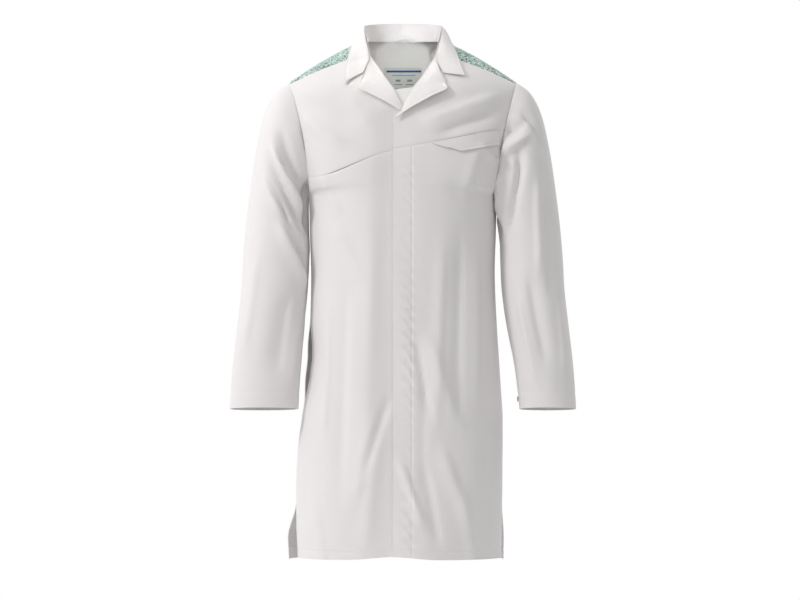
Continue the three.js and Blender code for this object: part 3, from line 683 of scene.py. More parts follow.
# %% Back panels
back_yoke_height, neck_share, neck_back_v = 880, 0.34, shoulder_v + 2


def back_yoke_at(s, t):
    a = np.abs(s)
    top_u = np.where(a < neck_share, 0.002, mix(0.002, 1.0, (a - neck_share) / (1 - neck_share)))
    top_v = mix(neck_back_v, print_back_v, np.minimum(a / neck_share, 1))
    u = mix(top_u, a, t) * np.where(s < 0, -1, 1)
    return u, mix(top_v, back_v(a, back_yoke_height), t)


s, t = np.meshgrid(mix(-1, 1, spread(430, step=6)), spread(210, step=6))
p = body_surface(*back_yoke_at(s, t))
p = pinch(p, "NS", outward=1)
p = pinch(p, "EW", 0.5)
hung(panel("back_yoke_cloth", p, 1), "white_cloth", "back_yoke")

back_rows = spread(back_yoke_height, step=7, lines=(back_yoke_height - hem_turn,))
u, t = np.meshgrid(mix(-1, 1, spread(460, step=6)), back_rows)
low_v = back_v(np.abs(u), back_yoke_height)
v = mix(low_v, float(last_station), t)
gape = vent_gape(body_point(u, v)[..., 2])
p = body_surface(u * (1 - 0.2 * gape), v)
p = groove(p, p[..., 2] - hem_turn, 0.6)
p = pinch(p, "S")
p = pinch(p, "EW", 0.8)
hung(panel("back_cloth", p, 1), "white_cloth", "back_panel")

s, t = np.meshgrid(mix(-0.42, 0.42, spread(150, step=6)), mix(0.03, 0.62, spread(110, step=6)))
u, v = back_yoke_at(s, t)
facing = body_surface(u, v, 3.2)
hung(panel("neck_facing_cloth", facing, 1, thickness=0.6), "tape_cloth", "neck_facing")
print("yokes, bands and back made:", len(pieces), "panels so far")

# %% [markdown]
# ## Collar and lapels
#
# The collar is a stand round the neck and a leaf that turns down over it. The lapels are
# the tops of the fronts, rolled back along a line from the break to the collar's end. Both
# lie on the body, so each point is kept a little outside the nearest point of it.

# %% Keeping clear of the body
probe_u, probe_v = np.meshgrid(np.linspace(0.001, 0.9, 36), np.linspace(8, 16, 110))
probe = body_point(probe_u, probe_v).reshape(-1, 3)
probe_normal = grid_normals(body_point(probe_u, probe_v)).reshape(-1, 3)
if probe_normal[np.argmin(probe[:, 1]), 1] > 0:
    probe_normal = -probe_normal


def clear_of_body(p, gap):
    """Pushes points out until each is at least gap away from the nearest body point."""
    flat = p.reshape(-1, 3).copy()
    gap = np.broadcast_to(gap, p.shape[:-1]).reshape(-1)
    sign = np.where(flat[:, 0] < 0, -1.0, 1.0)
    flat[:, 0] *= sign
    for _ in range(2):
        near = np.array([np.argmin(((probe - q) ** 2).sum(1)) for q in flat])
        out = ((flat - probe[near]) * probe_normal[near]).sum(1)
        flat += probe_normal[near] * np.maximum(gap - out, 0)[:, None]
    flat[:, 0] *= sign
    return flat.reshape(p.shape)


def along(points, t):
    t = np.asarray(t, float)
    return spline(points, np.clip(t, 0, 1) * (len(points) - 1))


def around(points, w):
    p = along(points, np.abs(w))
    p[..., 0] *= np.where(w < 0, -1, 1)
    return p


print(len(probe), "probe points on the body")

# %% Collar lines, from the centre back round to the front
n_x, n_z, f_z = neck_half, neck_height, fold_height
stand_height, collar_drop = 40, 48
fold_line = [(0, 86, f_z), (n_x * 0.56, 71, f_z - 2), (n_x * 0.9, 38, f_z - 6),
             (n_x - 1, 2, f_z - 12), (n_x - 6, -20, f_z - 38), (n_x - 13, -42, n_z - 34)]
neck_seam = [(0, 80, f_z - stand_height), (n_x * 0.54, 63, n_z + 5), (n_x * 0.87, 34, n_z + 4),
             (n_x - 3.5, 3, n_z - 1), (n_x - 9, -16, n_z - 12), (n_x - 15.5, -37, n_z - 37)]
leaf_inner = [(0, 87, f_z), (n_x * 0.57, 72, f_z - 2), (n_x * 0.91, 39, f_z - 6),
              (n_x, 2, f_z - 12), (n_x - 4, -24, f_z - 38), (n_x - 11, -46, n_z - 34),
              (n_x - 1, -68, n_z - 73)]
leaf_outer = [(0, 116, f_z - collar_drop), (n_x * 0.72, 98, f_z - collar_drop - 2),
              (n_x * 1.1, 58, f_z - collar_drop - 1), (n_x * 1.27, 14, f_z - collar_drop - 1),
              (n_x * 1.36, -22, n_z - 20), (n_x * 1.46, -52, n_z - 44),
              (n_x * 1.53, -72, n_z - 68)]

s, t = np.meshgrid(mix(-0.98, 0.98, spread(330, step=5)), spread(stand_height, step=4))
p = mix(around(neck_seam, s), around(fold_line, s), t[..., None])
bend = 1.2 * np.sin(np.pi * t) * np.sin(s * 9 + 0.5)
p = p + (p * (1, 1, 0) - (0, 10, 0)) / 80 * bend[..., None]
out = 1 if grid_normals(p)[2, len(p[0]) // 2, 1] > 0 else -1
hung(panel("collar_stand_cloth", p, out, thickness=1.2), "white_cloth", "collar_stand")

s, t = np.meshgrid(mix(-1, 1, spread(470, step=5)), spread(55, step=4, lines=(50,)))
p = mix(around(leaf_inner, s), around(leaf_outer, s), t[..., None])
lift = p * (1, 1, 0) + (0, -10, 30)
lift /= np.linalg.norm(lift, axis=-1, keepdims=True)
crown = 5.5 * np.sin(np.pi * t ** 0.8) * (1 - 0.6 * np.abs(s)) + 0.5 * np.sin(s * 21) * t
p = p + lift * crown[..., None]
# The wearer's right point of the leaf droops further than the left one.
droop = np.where(s < 0, 29, 5)
drift = np.where(s < 0, 7, 1)
p[..., 2] -= droop * ease((np.abs(s) - 0.72) / 0.28) * t
p[..., 0] += drift * ease((np.abs(s) - 0.8) / 0.2) * t
held = (t < 0.2) & (np.abs(s) < 0.7)
leaf_gap = 3.6 + 4.0 * ease((np.abs(s) - 0.7) / 0.3) * t
p = np.where(held[..., None], p, clear_of_body(p, leaf_gap))
out = 1 if grid_normals(p)[2, len(p[0]) // 2, 1] > 0 else -1
p = groove(p, distance_from(p, "N") - 5, 0.5, 1.3, out)
hung(panel("collar_leaf_cloth", p, out, thickness=1.8), "white_cloth", "collar_leaf")
print("collar leaf", p.shape[:2])

# %% Lapels
roll_line = [(1, -111, break_height - 4), (n_x * 0.24, -102, break_height + 28),
             (n_x * 0.52, -83, break_height + 60), (n_x - 15, -52, n_z - 40)]
lapel_edge = [(6, -120, break_height - 15), (27, -118, break_height - 2),
              (62, -114, break_height + 17), (90, -104, break_height + 32),
              (76, -72, n_z - 78)]
for side, name in ((1, "left"), (-1, "right")):
    s, t = np.meshgrid(spread(125, step=4), spread(50, step=4))
    edge_line = lapel_edge if side < 0 else [(-17, -121, break_height - 31)] + lapel_edge
    p = mix(along(roll_line, s), along(edge_line, s), t[..., None])
    p = clear_of_body(p, 1.4 + 2.6 * np.sin(np.pi * np.minimum(t * 1.2, 1)) + 4.0 * t)
    p = p * (side, 1, 1)
    out = 1 if grid_normals(p)[3, 5, 1] < 0 else -1
    p = groove(p, distance_from(p, "N") - 5, 0.5, 1.3, out)
    hung(panel(f"{name}_lapel_cloth", p, out, thickness=1.8), "white_cloth", f"{name}_lapel")
print("collar and lapels made")

# %% [markdown]
# ## Sleeves
#
# A set-in sleeve is a tube on a rail of rings, from the armhole's ring to the cuff. It is
# cut at one slanted ring, between the part that gives at the shoulder and the rest. The
# folds are laid out on the unrolled tube: angle round it, and height.

# %% Sleeve rings
sh, ch = shoulder_half, chest_half
elbow_height, elbow_reach, cuff_height = 550, 70, 312
elbow_x, cuff_x = ch + 76, sh + 61
cuff_half, cuff_deep, elbow_half, elbow_deep = 60, 43, 63, 68
forearm_height = (elbow_height - elbow_reach + cuff_height) / 2


def sleeve_level(z, x, y, half, deep):
    return [(x + half, y, z), (x, y - deep, z), (x - half, y, z), (x, y + deep, z)]


rings = np.array([
    armhole,
    [(sh + 30, 5, s_h - 23), (sh - 10, -70, arm_mid - 7), (ch + 11, 2, u_h - 7),
     (sh - 6, 78, arm_mid - 7)],
    [(sh + 52, 5, s_h - 65), (sh + 8, -76, arm_mid - 33), (ch + 13, 1, u_h - 29),
     (sh + 11, 80, arm_mid - 31)],
    [(sh + 66, 3, s_h - 125), (sh + 18, -78, arm_mid - 77), (ch + 13, 0, u_h - 56),
     (sh + 21, 78, arm_mid - 73)],
    [(sh + 78, 0, s_h - 205), (sh + 25, -77, arm_mid - 141), (ch + 13, -2, u_h - 82),
     (sh + 28, 74, arm_mid - 137)],
    sleeve_level(elbow_height + elbow_reach, elbow_x - 3, -6, elbow_half - 2, elbow_deep + 2),
    sleeve_level(elbow_height, elbow_x, -10, elbow_half, elbow_deep),
    sleeve_level(elbow_height - elbow_reach, elbow_x + 7, -17, elbow_half, elbow_deep - 6),
    sleeve_level(forearm_height, (elbow_x + cuff_x) / 2 + 6, -25, cuff_half + 1, cuff_deep + 8),
    sleeve_level(cuff_height, cuff_x, -32, cuff_half, cuff_deep),
], float)
split_w, cuff_w, hem_band = 4, len(rings) - 1, 30


def sleeve_point(angle, w):
    return ring_point(spline(rings, w), angle)


# Each fold: (angle in degrees, height) at its start and end, width in mm, height in mm.
# Angle 0 is the outside of the arm, 90 its front, 180 the side next to the body.
sleeve_folds = {
    "right": [
        ((62, 884), (150, 735), 9, 8.0),
        ((72, 900), (160, 770), 9, -5.0),
        ((56, 862), (152, 690), 8, -7.0),
        ((50, 846), (158, 650), 9, 9.0),
        ((48, 800), (150, 610), 8, -6.5),
        ((84, 742), (160, 585), 9, 8.5),
        ((88, 700), (165, 540), 11, -8.0),
        ((150, 800), (165, 655), 16, 9.0),
        ((120, 560), (112, 360), 18, 3.4),
        ((60, 640), (48, 400), 17, -2.6),
        ((150, 500), (142, 340), 12, -3.2),
        ((-120, 760), (-60, 620), 17, 4.0),
        ((-150, 660), (-80, 560), 15, -3.4),
        ((-90, 560), (-100, 380), 17, 2.6),
    ],
    "left": [
        ((168, 796), (50, 900), 8, 9.0),
        ((168, 776), (58, 872), 8, -8.0),
        ((60, 930), (40, 820), 9, 5.0),
        ((86, 856), (146, 640), 9, 10.0),
        ((128, 840), (160, 670), 12, -10.0),
        ((165, 800), (168, 640), 12, 8.0),
        ((66, 800), (84, 560), 12, -4.0),
        ((52, 780), (62, 520), 13, 4.0),
        ((100, 600), (86, 380), 15, 4.4),
        ((124, 560), (112, 350), 11, -3.8),
        ((40, 560), (50, 360), 14, -2.4),
        ((-120, 760), (-60, 620), 17, 4.0),
        ((-150, 660), (-80, 560), 15, -3.4),
        ((-90, 560), (-100, 380), 17, 2.6),
    ],
}
# How far the sleeve's inner side leans on the body, as (height, millimetres).
lean_in = {
    "right": [(312, 20), (400, 18), (448, 14), (500, 10), (570, 11), (640, 14), (740, 12),
              (800, 3), (860, 0)],
    "left": [(325, -4), (448, 0), (570, 4), (640, 6), (690, 13), (740, 12), (800, 3), (860, 0)],
}
arm_round = 66  # mean radius, which turns an angle into a distance round the sleeve
sleeve_wide, sleeve_tall, sleeve_steep = 1.2, 1.5, 0.4


def sleeve_surface(name, angle, w):
    p = sleeve_point(angle, w)
    e = 0.01
    w0, w1 = np.clip(w - e, 0, cuff_w), np.clip(w + e, 0, cuff_w)
    up = sleeve_point(angle, w1) - sleeve_point(angle, w0)
    n = np.cross(up, sleeve_point(angle + e, w) - sleeve_point(angle - e, w))
    n /= np.linalg.norm(n, axis=-1, keepdims=True)
    turn = np.degrees((angle + math.pi) % (2 * math.pi) - math.pi)
    height = p[..., 2]
    total = 0
    for (a0, z0), (a1, z1), wide, tall in sleeve_folds[name]:
        k = math.radians(1) * arm_round
        total = total + ridge(turn * k, height, (a0 * k, z0), (a1 * k, z1),
                              wide * sleeve_wide, tall * sleeve_tall, steep=sleeve_steep)
    total = total + ripple_share * ripple(turn * 1.15, height) * window((turn + 180) / 360, 0.1)
    calm = ease(w / 0.5) * ease((cuff_w - w) / 0.7)
    moved = p + n * (total * calm)[..., None]
    inner = ((1 - np.cos(angle)) / 2) ** 1.5
    moved[..., 0] -= np.interp(height, *zip(*lean_in[name])) * inner
    moved[..., 2] -= 4.0 * ease(w - cuff_w + 1) * (1 - np.sin(angle))
    return moved


print(len(rings), "rings and", [len(folds) for folds in sleeve_folds.values()], "folds")

# %% Sleeve cloth
round_sides = 84
ring_angles = np.arange(round_sides) / round_sides * 2 * math.pi


def sleeve_tube(name, w):
    angle, rows = np.meshgrid(ring_angles, w)
    p = sleeve_surface(name, angle, rows)
    return p * (1 if name == "left" else -1, 1, 1)


for name in ("left", "right"):
    side = 1 if name == "left" else -1
    p = sleeve_tube(name, mix(0, split_w, spread(230, step=6)))
    out = 1 if np.dot(grid_normals(p, True)[20, 0], (side, 0, 0)) > 0 else -1
    p = pinch(p, "S", 0.8, 2.4, wrap=True, outward=out)
    hung(panel(f"{name}_sleeve_top", p, out, wrap=True), "white_cloth",
         f"{name}_sleeve_head", body=None)
    w = mix(split_w, cuff_w, spread(430, step=6, lines=(430 - hem_band,)))
    p = sleeve_tube(name, w)
    p = groove(p, distance_from(p, "N") - hem_band, 0.7, 1.6, out)
    hung(panel(f"{name}_sleeve", p, out, thickness=1.2, wrap=True), "white_cloth",
         f"{name}_upper_sleeve", f"{name}_elbow", f"{name}_forearm", f"{name}_cuff", body=None)
print("sleeves", p.shape[:2])

# %% [markdown]
# ## Pockets
#
# The side pockets open through a slit in the side seam, and their bags hang inside the
# front. The chest pocket is a bag behind the yoke seam, closed by a slanted flap. Each bag
# is one strip folded double, as a real one is cut, and not two sheets that would have to be
# joined. The flap is a small panel of its own that follows the seam above it.

# %% Pocket bags and flap
bag_step, bag_cloth, bag_below, bag_above = 3.5, 0.6, 70, 8


def bag_room(room, s):
    return 1.4 + room * np.sqrt(np.sin(np.pi * mix(0.04, 0.96, s)))


for side, name in ((1, "left"), (-1, "right")):
    rows, cols = np.linspace(0, 1, 40), np.linspace(0, 1, 41)
    t, s = np.meshgrid(cols, rows)
    v = front_v(np.full(s.shape, 0.85), mix(slit_low - bag_below, slit_high + bag_above, s))
    fold = np.abs(1 - 2 * t)
    u = mix(u_at_x(fold_x + 4, v), 0.975, fold)
    back = np.where(t > 0.5, bag_room(6, s) * ease(fold * 4), 0)
    p = body_surface(u * side, v, bag_step + back)
    hung(panel(f"{name}_pocket_bag", p, side, thickness=bag_cloth), "pocket_cloth",
         f"{name}_side_pocket")

flap_in, flap_out, flap_drop, flap_lift = 57, 190, 29, 2.6
flap_rows = spread(flap_drop, step=2.5, lines=(flap_drop - 5,))
s, t = np.meshgrid(spread(flap_out - flap_in, step=5), flap_rows)
x = mix(flap_in + 30 * t, flap_out + 4 * t, s)
shape = mix(0.55, 1, ease(s * 3))
z = left_seam(x) - 1 - flap_drop * t * shape
p = body_surface(*front_uv(x, z), -(flap_lift + 1.4 * t + 0.4 * np.sin(s * 7) * t))
p = groove(p, distance_from(p, "N") - 5, 0.45, 1.2, -1)
hung(panel("pocket_flap_cloth", p, -1, thickness=1.8), "white_cloth",
     "chest_pocket_flap", body=None)

rows, cols = np.linspace(0, 1, 41), np.linspace(0, 1, 30)
s, t = np.meshgrid(cols, rows)
fold = np.abs(1 - 2 * t)
chest_bag_inset, chest_bag_width, chest_bag_depth = 42, 92, 135
x = flap_out - chest_bag_inset - chest_bag_width * (1 - s)
back = np.where(t > 0.5, bag_room(5, s) * ease(fold * 4), 0)
z = left_seam(x) - 3 - chest_bag_depth * (1 - fold)
p = body_surface(*front_uv(x, z), bag_step + back)
out = -1 if grid_normals(p)[2, 10, 1] > 0 else 1
hung(panel("chest_bag_cloth", p, out, thickness=bag_cloth), "pocket_cloth", "chest_pocket_bag")

s, t = np.meshgrid(np.linspace(0, 1, 12), np.linspace(0, 1, 120))
p = front_uv(mix(6 - underlap, placket_x - 3, s), mix(40, fold_top - 4, t))
hung(panel("stud_tape", body_surface(*p, 2.2), 1, thickness=0.8), "tape_cloth",
     "stud_strip", body=None)
print("pockets made")

# %% [markdown]
# ## Press studs, hanger loop and label
#
# A stud is a turned cap with a rolled edge: a small lathe profile spun round its axis. The
# studs in the placket are hidden when the coat is closed, and show when the front opens.
# The hanger loop is a bowed tape, and the label a small patch that follows the neck.

# %% Studs
def spun(name, profile, place, normal, slot, turns=28):
    """Spins a profile of (radius, height) round the normal at a place."""
    normal = Vector(normal).normalized()
    x_axis = normal.orthogonal().normalized()
    y_axis = normal.cross(x_axis)
    verts, faces = [], []
    for radius, height in profile:
        for k in range(turns):
            a = 2 * math.pi * k / turns
            outward = (x_axis * math.cos(a) + y_axis * math.sin(a)) * radius
            verts.append(to_frame(Vector(place) + outward + normal * height))
    for i in range(len(profile) - 1):
        for k in range(turns):
            m = (k + 1) % turns
            faces.append((i * turns + k, i * turns + m, (i + 1) * turns + m, (i + 1) * turns + k))
    faces.append(tuple(range(turns))[::-1])
    faces.append(tuple((len(profile) - 1) * turns + k for k in range(turns)))
    mesh = bpy.data.meshes.new(name)
    mesh.from_pydata([tuple(v) for v in verts], [], faces)
    mesh.shade_smooth()
    mesh.set_sharp_from_angle(angle=math.radians(40))
    piece = bpy.data.objects.new(name, mesh)
    bpy.context.collection.objects.link(piece)
    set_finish(piece, slot)
    pieces[name] = piece
    return piece


stud_count, stud_pitch, top_stud, post_share = 5, 145, 866, 0.8
cap = [(0.4, 0), (3.6, 0), (5.2, 0.1), (5.5, 0.5), (5.3, 0.9), (4.4, 1.0), (3.8, 0.7), (0.5, 0.6)]
studs = {"front_left": [], "front_right": []}
for n in range(stud_count):
    z = np.array([top_stud - n * stud_pitch], float)
    u, v = front_uv(np.array([0.01]), z)
    e = 0.004
    q = body_point(u, v)[0]
    across = body_point(u + 2 * e, v)[0] - q
    upward = body_point(u, v + 5 * e)[0] - q
    normal = np.cross(across, upward)
    normal /= np.linalg.norm(normal)
    for kind, depth in (("socket", 3.8), ("post", 5.1)):
        node = f"stud_{kind}_{n + 1}"
        share = 1 if kind == "socket" else post_share
        profile = [(r * share, -h) for r, h in cap]
        piece = spun(f"{node}_metal", profile, q - normal * depth, normal, "snap_metal")
        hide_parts(node)
        if n == 0:
            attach(piece, "coat_body")
        else:
            studs["front_left" if kind == "socket" else "front_right"].append(piece)
print("studs", sum(len(v) for v in studs.values()) + 2)

cuff_cap = [(0.4, -0.9), (5.0, -0.9), (5.5, -0.4), (5.4, 0.2), (4.2, 0.7), (0.5, 0.8)]
for name in ("left", "right"):
    side = 1 if name == "left" else -1
    low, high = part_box(f"{name}_cuff_stud")
    middle = (low + high) / 2
    place = np.array(middle) * 1000 + (0.0, loop_depth, loop_height)
    piece = spun(f"{name}_cuff_cap", cuff_cap, place, (-side, 0, 0), "dark_snap")
    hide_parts(f"{name}_cuff_stud")
    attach(piece, f"cuff_{name}")

# %% Hanger loop and label
tape_width = 8
loop_low, loop_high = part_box("hanger_loop")
s = np.linspace(-1, 1, 41)
reach = (loop_high.x - loop_low.x) / 2 * 1000 - 1
bow = (1 - s ** 2) ** 1.5
y0 = loop_high.y * 1000 + loop_depth - 0.9
rise = (loop_high.y - loop_low.y) * 1000 - 1.6
x = s * reach
y = y0 - rise * bow
drop = (loop_high.z - loop_low.z) * 1000 - tape_width
z_top = loop_height - drop * (1 - bow)
p = np.stack([np.stack([x, y, z_top - tape_width * (1 - k)], -1) for k in np.linspace(0, 1, 5)])
hung(panel("hanger_tape", p, 1, thickness=0.8), "tape_cloth", "hanger_loop")

label_half, label_low, label_high = 40, 958, 1012
cols, rows = np.linspace(-label_half, label_half, 25), np.linspace(label_low, label_high, 20)
label_x, label_z = np.meshgrid(cols, rows)
label_u = np.full(label_x.shape, 0.001)
for _ in range(4):
    label_v = rising(lambda m: label_z - body_point(label_u, m)[..., 2],
                     shoulder_v + 2, last_station - 6, label_z.shape)
    label_u = u_at_x(label_x, label_v)
p = body_surface(label_u, label_v, 5.0)
out = -1 if grid_normals(p)[5, 12, 1] > 0 else 1
piece = panel("size_label", p, out, thickness=0.4)
hung(piece, "tape_cloth")
print("label and loop made")

# %% [markdown]
# ## What rides on what
#
# The opening fronts, their studs, the stud tape, the sleeves and the flap hang on no body:
# each one is baked in place in the frame as it stands.

# %% Baked in place
# The slant of a line from the top of the placket to the fold line near the hem, where an
# unbuttoned front turns back. The opening fronts, their studs and the stud tape are baked in place.
foot_height, fold_ramp = 60, 110
fold_slope = np.array([-(seam_centre - foot_height), 0, -(fold_x + underlap)])
fold_slope = fold_slope / np.linalg.norm(fold_slope)
open_pieces = {
    name: [pieces[f"{name}_front_skirt"]] + studs[f"front_{name}"] for name in ("left", "right")
}
open_pieces["left"].append(pieces["stud_tape"])
for name, side in (("left", 1), ("right", -1)):
    for piece in open_pieces[name]:
        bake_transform(piece)

# The two pieces of each sleeve are baked in place.
for name, side in (("left", 1), ("right", -1)):
    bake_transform(pieces[f"{name}_sleeve_top"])
    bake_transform(pieces[f"{name}_sleeve"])

# The flap is baked in place, and its CAD box gives its height over its slant.
flap_low, flap_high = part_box("chest_pocket_flap")
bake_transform(pieces["pocket_flap_cloth"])
print("blends set, flap", round((flap_high.z - flap_low.z) * 1000), "mm tall over its slant")

# %% [markdown]
# ## Cloth, print and metal
#
# Shader maths is easier to read as Python. `Term` wraps one socket, so that `a * b + 0.2`
# adds the Math nodes itself, and `Finish` makes any other node in one call. Every finish is
# worked out from the piece's own coordinates, so it needs no image and no unwrapping.

# %% Shader helpers
class Term:
    """A socket that can be used in sums: each operator adds one Math node."""

    def __init__(self, tree, socket):
        self.tree, self.socket = tree, socket

    def _math(self, operation, first, second):
        node = self.tree.nodes.new("ShaderNodeMath")
        node.operation = operation
        for k, value in enumerate((first, second)):
            if isinstance(value, Term):
                self.tree.links.new(value.socket, node.inputs[k])
            else:
                node.inputs[k].default_value = value
        return Term(self.tree, node.outputs[0])

    def __add__(self, other):
        return self._math("ADD", self, other)

    def __radd__(self, other):
        return self._math("ADD", other, self)

    def __sub__(self, other):
        return self._math("SUBTRACT", self, other)

    def __rsub__(self, other):
        return self._math("SUBTRACT", other, self)

    def __mul__(self, other):
        return self._math("MULTIPLY", self, other)

    def __rmul__(self, other):
        return self._math("MULTIPLY", other, self)

    def __lt__(self, other):
        return self._math("LESS_THAN", self, other)

    def __gt__(self, other):
        return self._math("GREATER_THAN", self, other)

    def __abs__(self):
        return self._math("ABSOLUTE", self, 0.0)


class Finish:
    """A material with one Principled shader, and the piece's own coordinates in metres."""

    def __init__(self, name, color, roughness, metallic=0.0, sheen=0.0):
        self.material = bpy.data.materials.new(name)
        self.material.use_nodes = True
        self.tree = self.material.node_tree
        self.shader = self.tree.nodes["Principled BSDF"]
        self.shader.inputs["Base Color"].default_value = (*color, 1)
        self.shader.inputs["Roughness"].default_value = roughness
        self.shader.inputs["Metallic"].default_value = metallic
        self.shader.inputs["Sheen Weight"].default_value = sheen
        self.place = self.node("ShaderNodeTexCoord").outputs["Object"]

    def node(self, kind, settings=None, **inputs):
        made = self.tree.nodes.new(kind)
        for key, value in (settings or {}).items():
            if key == "stops":
                ramp = made.color_ramp
                while len(ramp.elements) < len(value):
                    ramp.elements.new(0.5)
                for element, (position, color) in zip(ramp.elements, value):
                    element.position = position
                    element.color = (*color, 1)
            elif key == "interpolation":
                made.color_ramp.interpolation = value
            else:
                setattr(made, key, value)
        for key, value in inputs.items():
            socket = made.inputs[key.replace("_", " ")]
            self.feed(socket, value)
        return made

    def feed(self, socket, value):
        if isinstance(value, Term):
            self.tree.links.new(value.socket, socket)
        elif isinstance(value, bpy.types.NodeSocket):
            self.tree.links.new(value, socket)
        else:
            socket.default_value = value

    def term(self, socket):
        return Term(self.tree, socket)

    def blend(self, mask, first, second):
        """A colour that turns from first to second with mask."""
        node = self.node("ShaderNodeMix", {"data_type": "RGBA"})
        self.feed(node.inputs[0], mask)
        self.feed(node.inputs[6], first if not isinstance(first, tuple) else (*first, 1))
        self.feed(node.inputs[7], second if not isinstance(second, tuple) else (*second, 1))
        return node.outputs[2]

    def paint(self, name, value):
        self.feed(self.shader.inputs[name], value)

    def nap(self, scale, strength, distance):
        """The small relief of woven threads, as a bump."""
        grain = self.node("ShaderNodeTexNoise", Vector=self.place, Scale=scale, Detail=3.0)
        bump = self.node("ShaderNodeBump", Strength=strength, Distance=distance,
                         Height=grain.outputs["Fac"])
        self.paint("Normal", bump.outputs["Normal"])


# %% [markdown]
# Pressed twill is matt, with a faint sheen and threads too small to model. So it is rough,
# has a slow cloud of two close whites, and a fine bump for the threads.

# %% White twill, tape and pocketing
def cloth_finish(name, color, shade, roughness):
    made = Finish(name, color, roughness, sheen=0.12)
    made.shader.inputs["Sheen Roughness"].default_value = 0.6
    cloud = made.node("ShaderNodeTexNoise", Vector=made.place, Scale=26.0, Detail=2.0)
    tone = made.blend(made.term(cloud.outputs["Fac"]) * 0.6, color, shade)
    made.paint("Base Color", tone)
    made.nap(1500.0, 0.25, 0.0003)
    return made


twill = cloth_finish("white_twill", (0.765, 0.742, 0.735), (0.73, 0.708, 0.70), 0.86)
tape = cloth_finish("woven_tape", (0.80, 0.79, 0.78), (0.76, 0.75, 0.74), 0.8)
pocketing = cloth_finish("pocketing", (0.70, 0.69, 0.68), (0.66, 0.65, 0.64), 0.9)
print("cloth finishes", [made.material.name for made in (twill, tape, pocketing)])

# %% [markdown]
# The shoulder bands carry a small mosaic print: uneven tiles in mint and teal, with dark and
# white ones among them. A Voronoi texture gives each cell a random colour of its own, and a
# ramp in steps turns that into the five inks.

# %% Mosaic print
tiles_per_metre, joint_width = 360.0, 0.035
mosaic = Finish("mosaic_print", (0.40, 0.69, 0.61), 0.84, sheen=0.1)
cells = mosaic.node("ShaderNodeTexVoronoi", Vector=mosaic.place, Scale=tiles_per_metre)
pick = mosaic.node("ShaderNodeSeparateColor", Color=cells.outputs["Color"])
inks = mosaic.node("ShaderNodeValToRGB", {
    "interpolation": "CONSTANT",
    "stops": [(0.0, (0.25, 0.44, 0.38)), (0.26, (0.10, 0.27, 0.24)), (0.42, (0.42, 0.57, 0.51)),
              (0.62, (0.04, 0.055, 0.055)), (0.78, (0.72, 0.74, 0.71))],
}, Fac=pick.outputs["Red"])
lines = mosaic.node("ShaderNodeTexVoronoi", {"feature": "DISTANCE_TO_EDGE"},
                    Vector=mosaic.place, Scale=tiles_per_metre)
joint = mosaic.term(lines.outputs["Distance"]) < joint_width
mosaic.paint("Base Color", mosaic.blend(joint, inks.outputs["Color"], (0.50, 0.59, 0.56)))
mosaic.nap(1500.0, 0.25, 0.0003)
print("mosaic print with", len(inks.color_ramp.elements), "inks")

# %% [markdown]
# The printed label inside the neck shows only plain bars where the maker's words would be.
# Each bar is the product of two comparisons, so its edges stay sharp without an image.

# %% Label bars
label_cloth = (0.66, 0.655, 0.64)
label = Finish("printed_label", label_cloth, 0.85)
axes = label.node("ShaderNodeSeparateXYZ", Vector=label.place)
across, up = label.term(axes.outputs["X"]), label.term(axes.outputs["Z"])


def bar(x, z, half_width, half_height):
    """1 inside a small upright rectangle of the label, in tailor's millimetres."""
    wide = abs(across - x / 1000) < half_width / 1000
    tall = abs(up - (z - loop_height) / 1000) < half_height / 1000
    return wide * tall


navy, sky, grey = (0.03, 0.09, 0.22), (0.20, 0.42, 0.62), (0.25, 0.26, 0.28)
bars = [
    (navy, [(2, 1002.5, 36, 2.0)]),
    (sky, [(2, 994.5, 24, 1.2)]),
    (grey, [(-10, 984, 5, 2.2), (14, 984, 5, 2.2), (-10, 976, 8, 0.9), (14, 976, 8, 0.9)]),
    (navy, [(2, 966, 24, 1.4)]),
]
color = label_cloth
for ink, places in bars:
    mask = sum((bar(*place) for place in places[1:]), bar(*places[0]))
    color = label.blend(mask, color, ink)
label.paint("Base Color", color)
label.nap(1500.0, 0.2, 0.0002)
print("label with", sum(len(places) for _, places in bars), "bars")

# %% [markdown]
# The press studs are bright pressed metal, and the cuff studs have dark caps. Both are
# smooth, so a low roughness and a very small bump are enough.

# %% Metal and caps
steel = Finish("pressed_metal", (0.66, 0.67, 0.68), 0.28, metallic=1.0)
steel.nap(300.0, 0.05, 0.0002)
dark_cap = Finish("dark_cap", (0.035, 0.035, 0.04), 0.38)
dark_cap.nap(400.0, 0.05, 0.0002)
floor_finish = Finish("pale_floor", (0.83, 0.83, 0.83), 0.7)
print("finishes ready")

# %% Every piece gets its finish
finishes = {
    "white_cloth": twill, "tape_cloth": tape, "pocket_cloth": pocketing,
    "print_cloth": mosaic, "snap_metal": steel, "dark_snap": dark_cap,
}
for name, piece in pieces.items():
    chosen = label if name == "size_label" else finishes[piece["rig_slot"]]
    piece.data.materials.clear()
    piece.data.materials.append(chosen.material)
    if chosen is mosaic:
        piece.data.materials.append(twill.material)
        printed = piece["printed_faces"]
        for face in piece.data.polygons:
            face.material_index = 0 if face.index < printed else 1
print(len(pieces), "pieces finished")

# %% [markdown]
# ## Floor, light and camera
#
# The coat hangs as from a high hook, so the floor is well below it. White cloth shows its
# folds only where the light is uneven. So the sky is brighter behind, above and on the
# wearer's right, a small key light rakes the front from that side, and two weak lights
# fill in. A narrow beam lights the inside of the neck, where the label is. The camera is
# far off and level with the coat's middle, which keeps its lines nearly parallel.

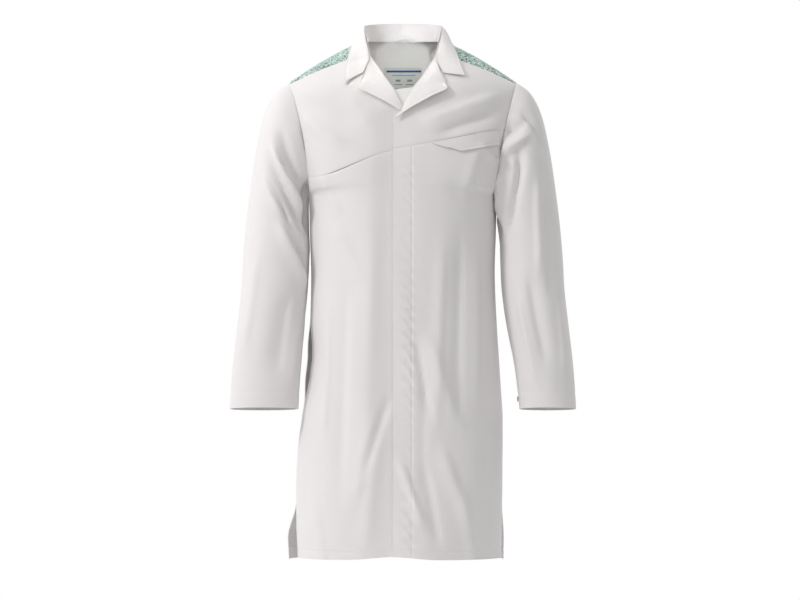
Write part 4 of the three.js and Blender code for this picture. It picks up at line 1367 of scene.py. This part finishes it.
# %% Floor
floor_radius, floor_height = 3.0, -1.95
bpy.ops.mesh.primitive_circle_add(vertices=96, radius=floor_radius, fill_type="NGON",
                                  location=(0, 0, floor_height))
floor = bpy.context.object
floor.name = "floor"
floor.data.materials.append(floor_finish.material)
floor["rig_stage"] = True
print("floor at", floor_height)


# %% Lights
def soft_light(name, place, target, size, power):
    data = bpy.data.lights.new(name, "AREA")
    data.size = size
    data.energy = power
    lamp = bpy.data.objects.new(name, data)
    bpy.context.collection.objects.link(lamp)
    lamp.location = place
    lamp.rotation_mode = "QUATERNION"
    lamp.rotation_quaternion = (Vector(target) - Vector(place)).to_track_quat("-Z", "Y")
    return lamp


middle = (0, -0.07, -0.5)
soft_light("key", (-2.8, -2.1, 1.9), middle, 0.7, 62)
soft_light("front", (-0.3, -4.3, 0.6), middle, 1.2, 14)
soft_light("back", (0.8, 2.6, 1.0), middle, 2.0, 14)
neck_light = soft_light("neck", (0.0, -2.6, 0.35), (0, 0.02, -0.05), 0.12, 0.055)
neck_light.data.spread = math.radians(6)

# The sky's strength follows each ray's direction, from the dim side to the bright one.
bright_side, dim, bright = (-0.46, 0.74, 0.49), 0.38, 1.0
dim_until, bright_from = -0.9, 0.64
world = bpy.data.worlds.new("studio")
bpy.context.scene.world = world
world.use_nodes = True
sky_nodes = world.node_tree
ray = sky_nodes.nodes.new("ShaderNodeTexCoord")
toward = sky_nodes.nodes.new("ShaderNodeVectorMath")
toward.operation = "DOT_PRODUCT"
toward.inputs[1].default_value = bright_side
sky_nodes.links.new(ray.outputs["Generated"], toward.inputs[0])
tones = sky_nodes.nodes.new("ShaderNodeMapRange")
tones.interpolation_type = "SMOOTHSTEP"
sky_nodes.links.new(toward.outputs["Value"], tones.inputs["Value"])
tones.inputs["From Min"].default_value = dim_until
tones.inputs["From Max"].default_value = bright_from
tones.inputs["To Min"].default_value = dim
tones.inputs["To Max"].default_value = bright
sky_nodes.links.new(tones.outputs["Result"], sky_nodes.nodes["Background"].inputs["Strength"])
sky_nodes.nodes["Background"].inputs["Color"].default_value = (1, 1, 1, 1)
bpy.context.scene.view_settings.view_transform = "Standard"

# %% Camera
camera_distance, view_width, sensor = 9.0, 1.636, 36
camera_side, camera_height = -0.006, 530
camera_data = bpy.data.cameras.new("camera")
camera_data.sensor_width = sensor
camera_data.lens = sensor * camera_distance / view_width
camera = bpy.data.objects.new("camera", camera_data)
bpy.context.collection.objects.link(camera)
camera.location = (camera_side, -loop_depth / 1000 - camera_distance,
                   (camera_height - loop_height) / 1000)
camera.rotation_euler = (math.radians(90), 0, 0)
bpy.context.scene.camera = camera
print("lens", round(camera_data.lens, 1))

# %% The visual box
low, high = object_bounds()
print("visual box", [round(v, 3) for v in (*low, *high)])
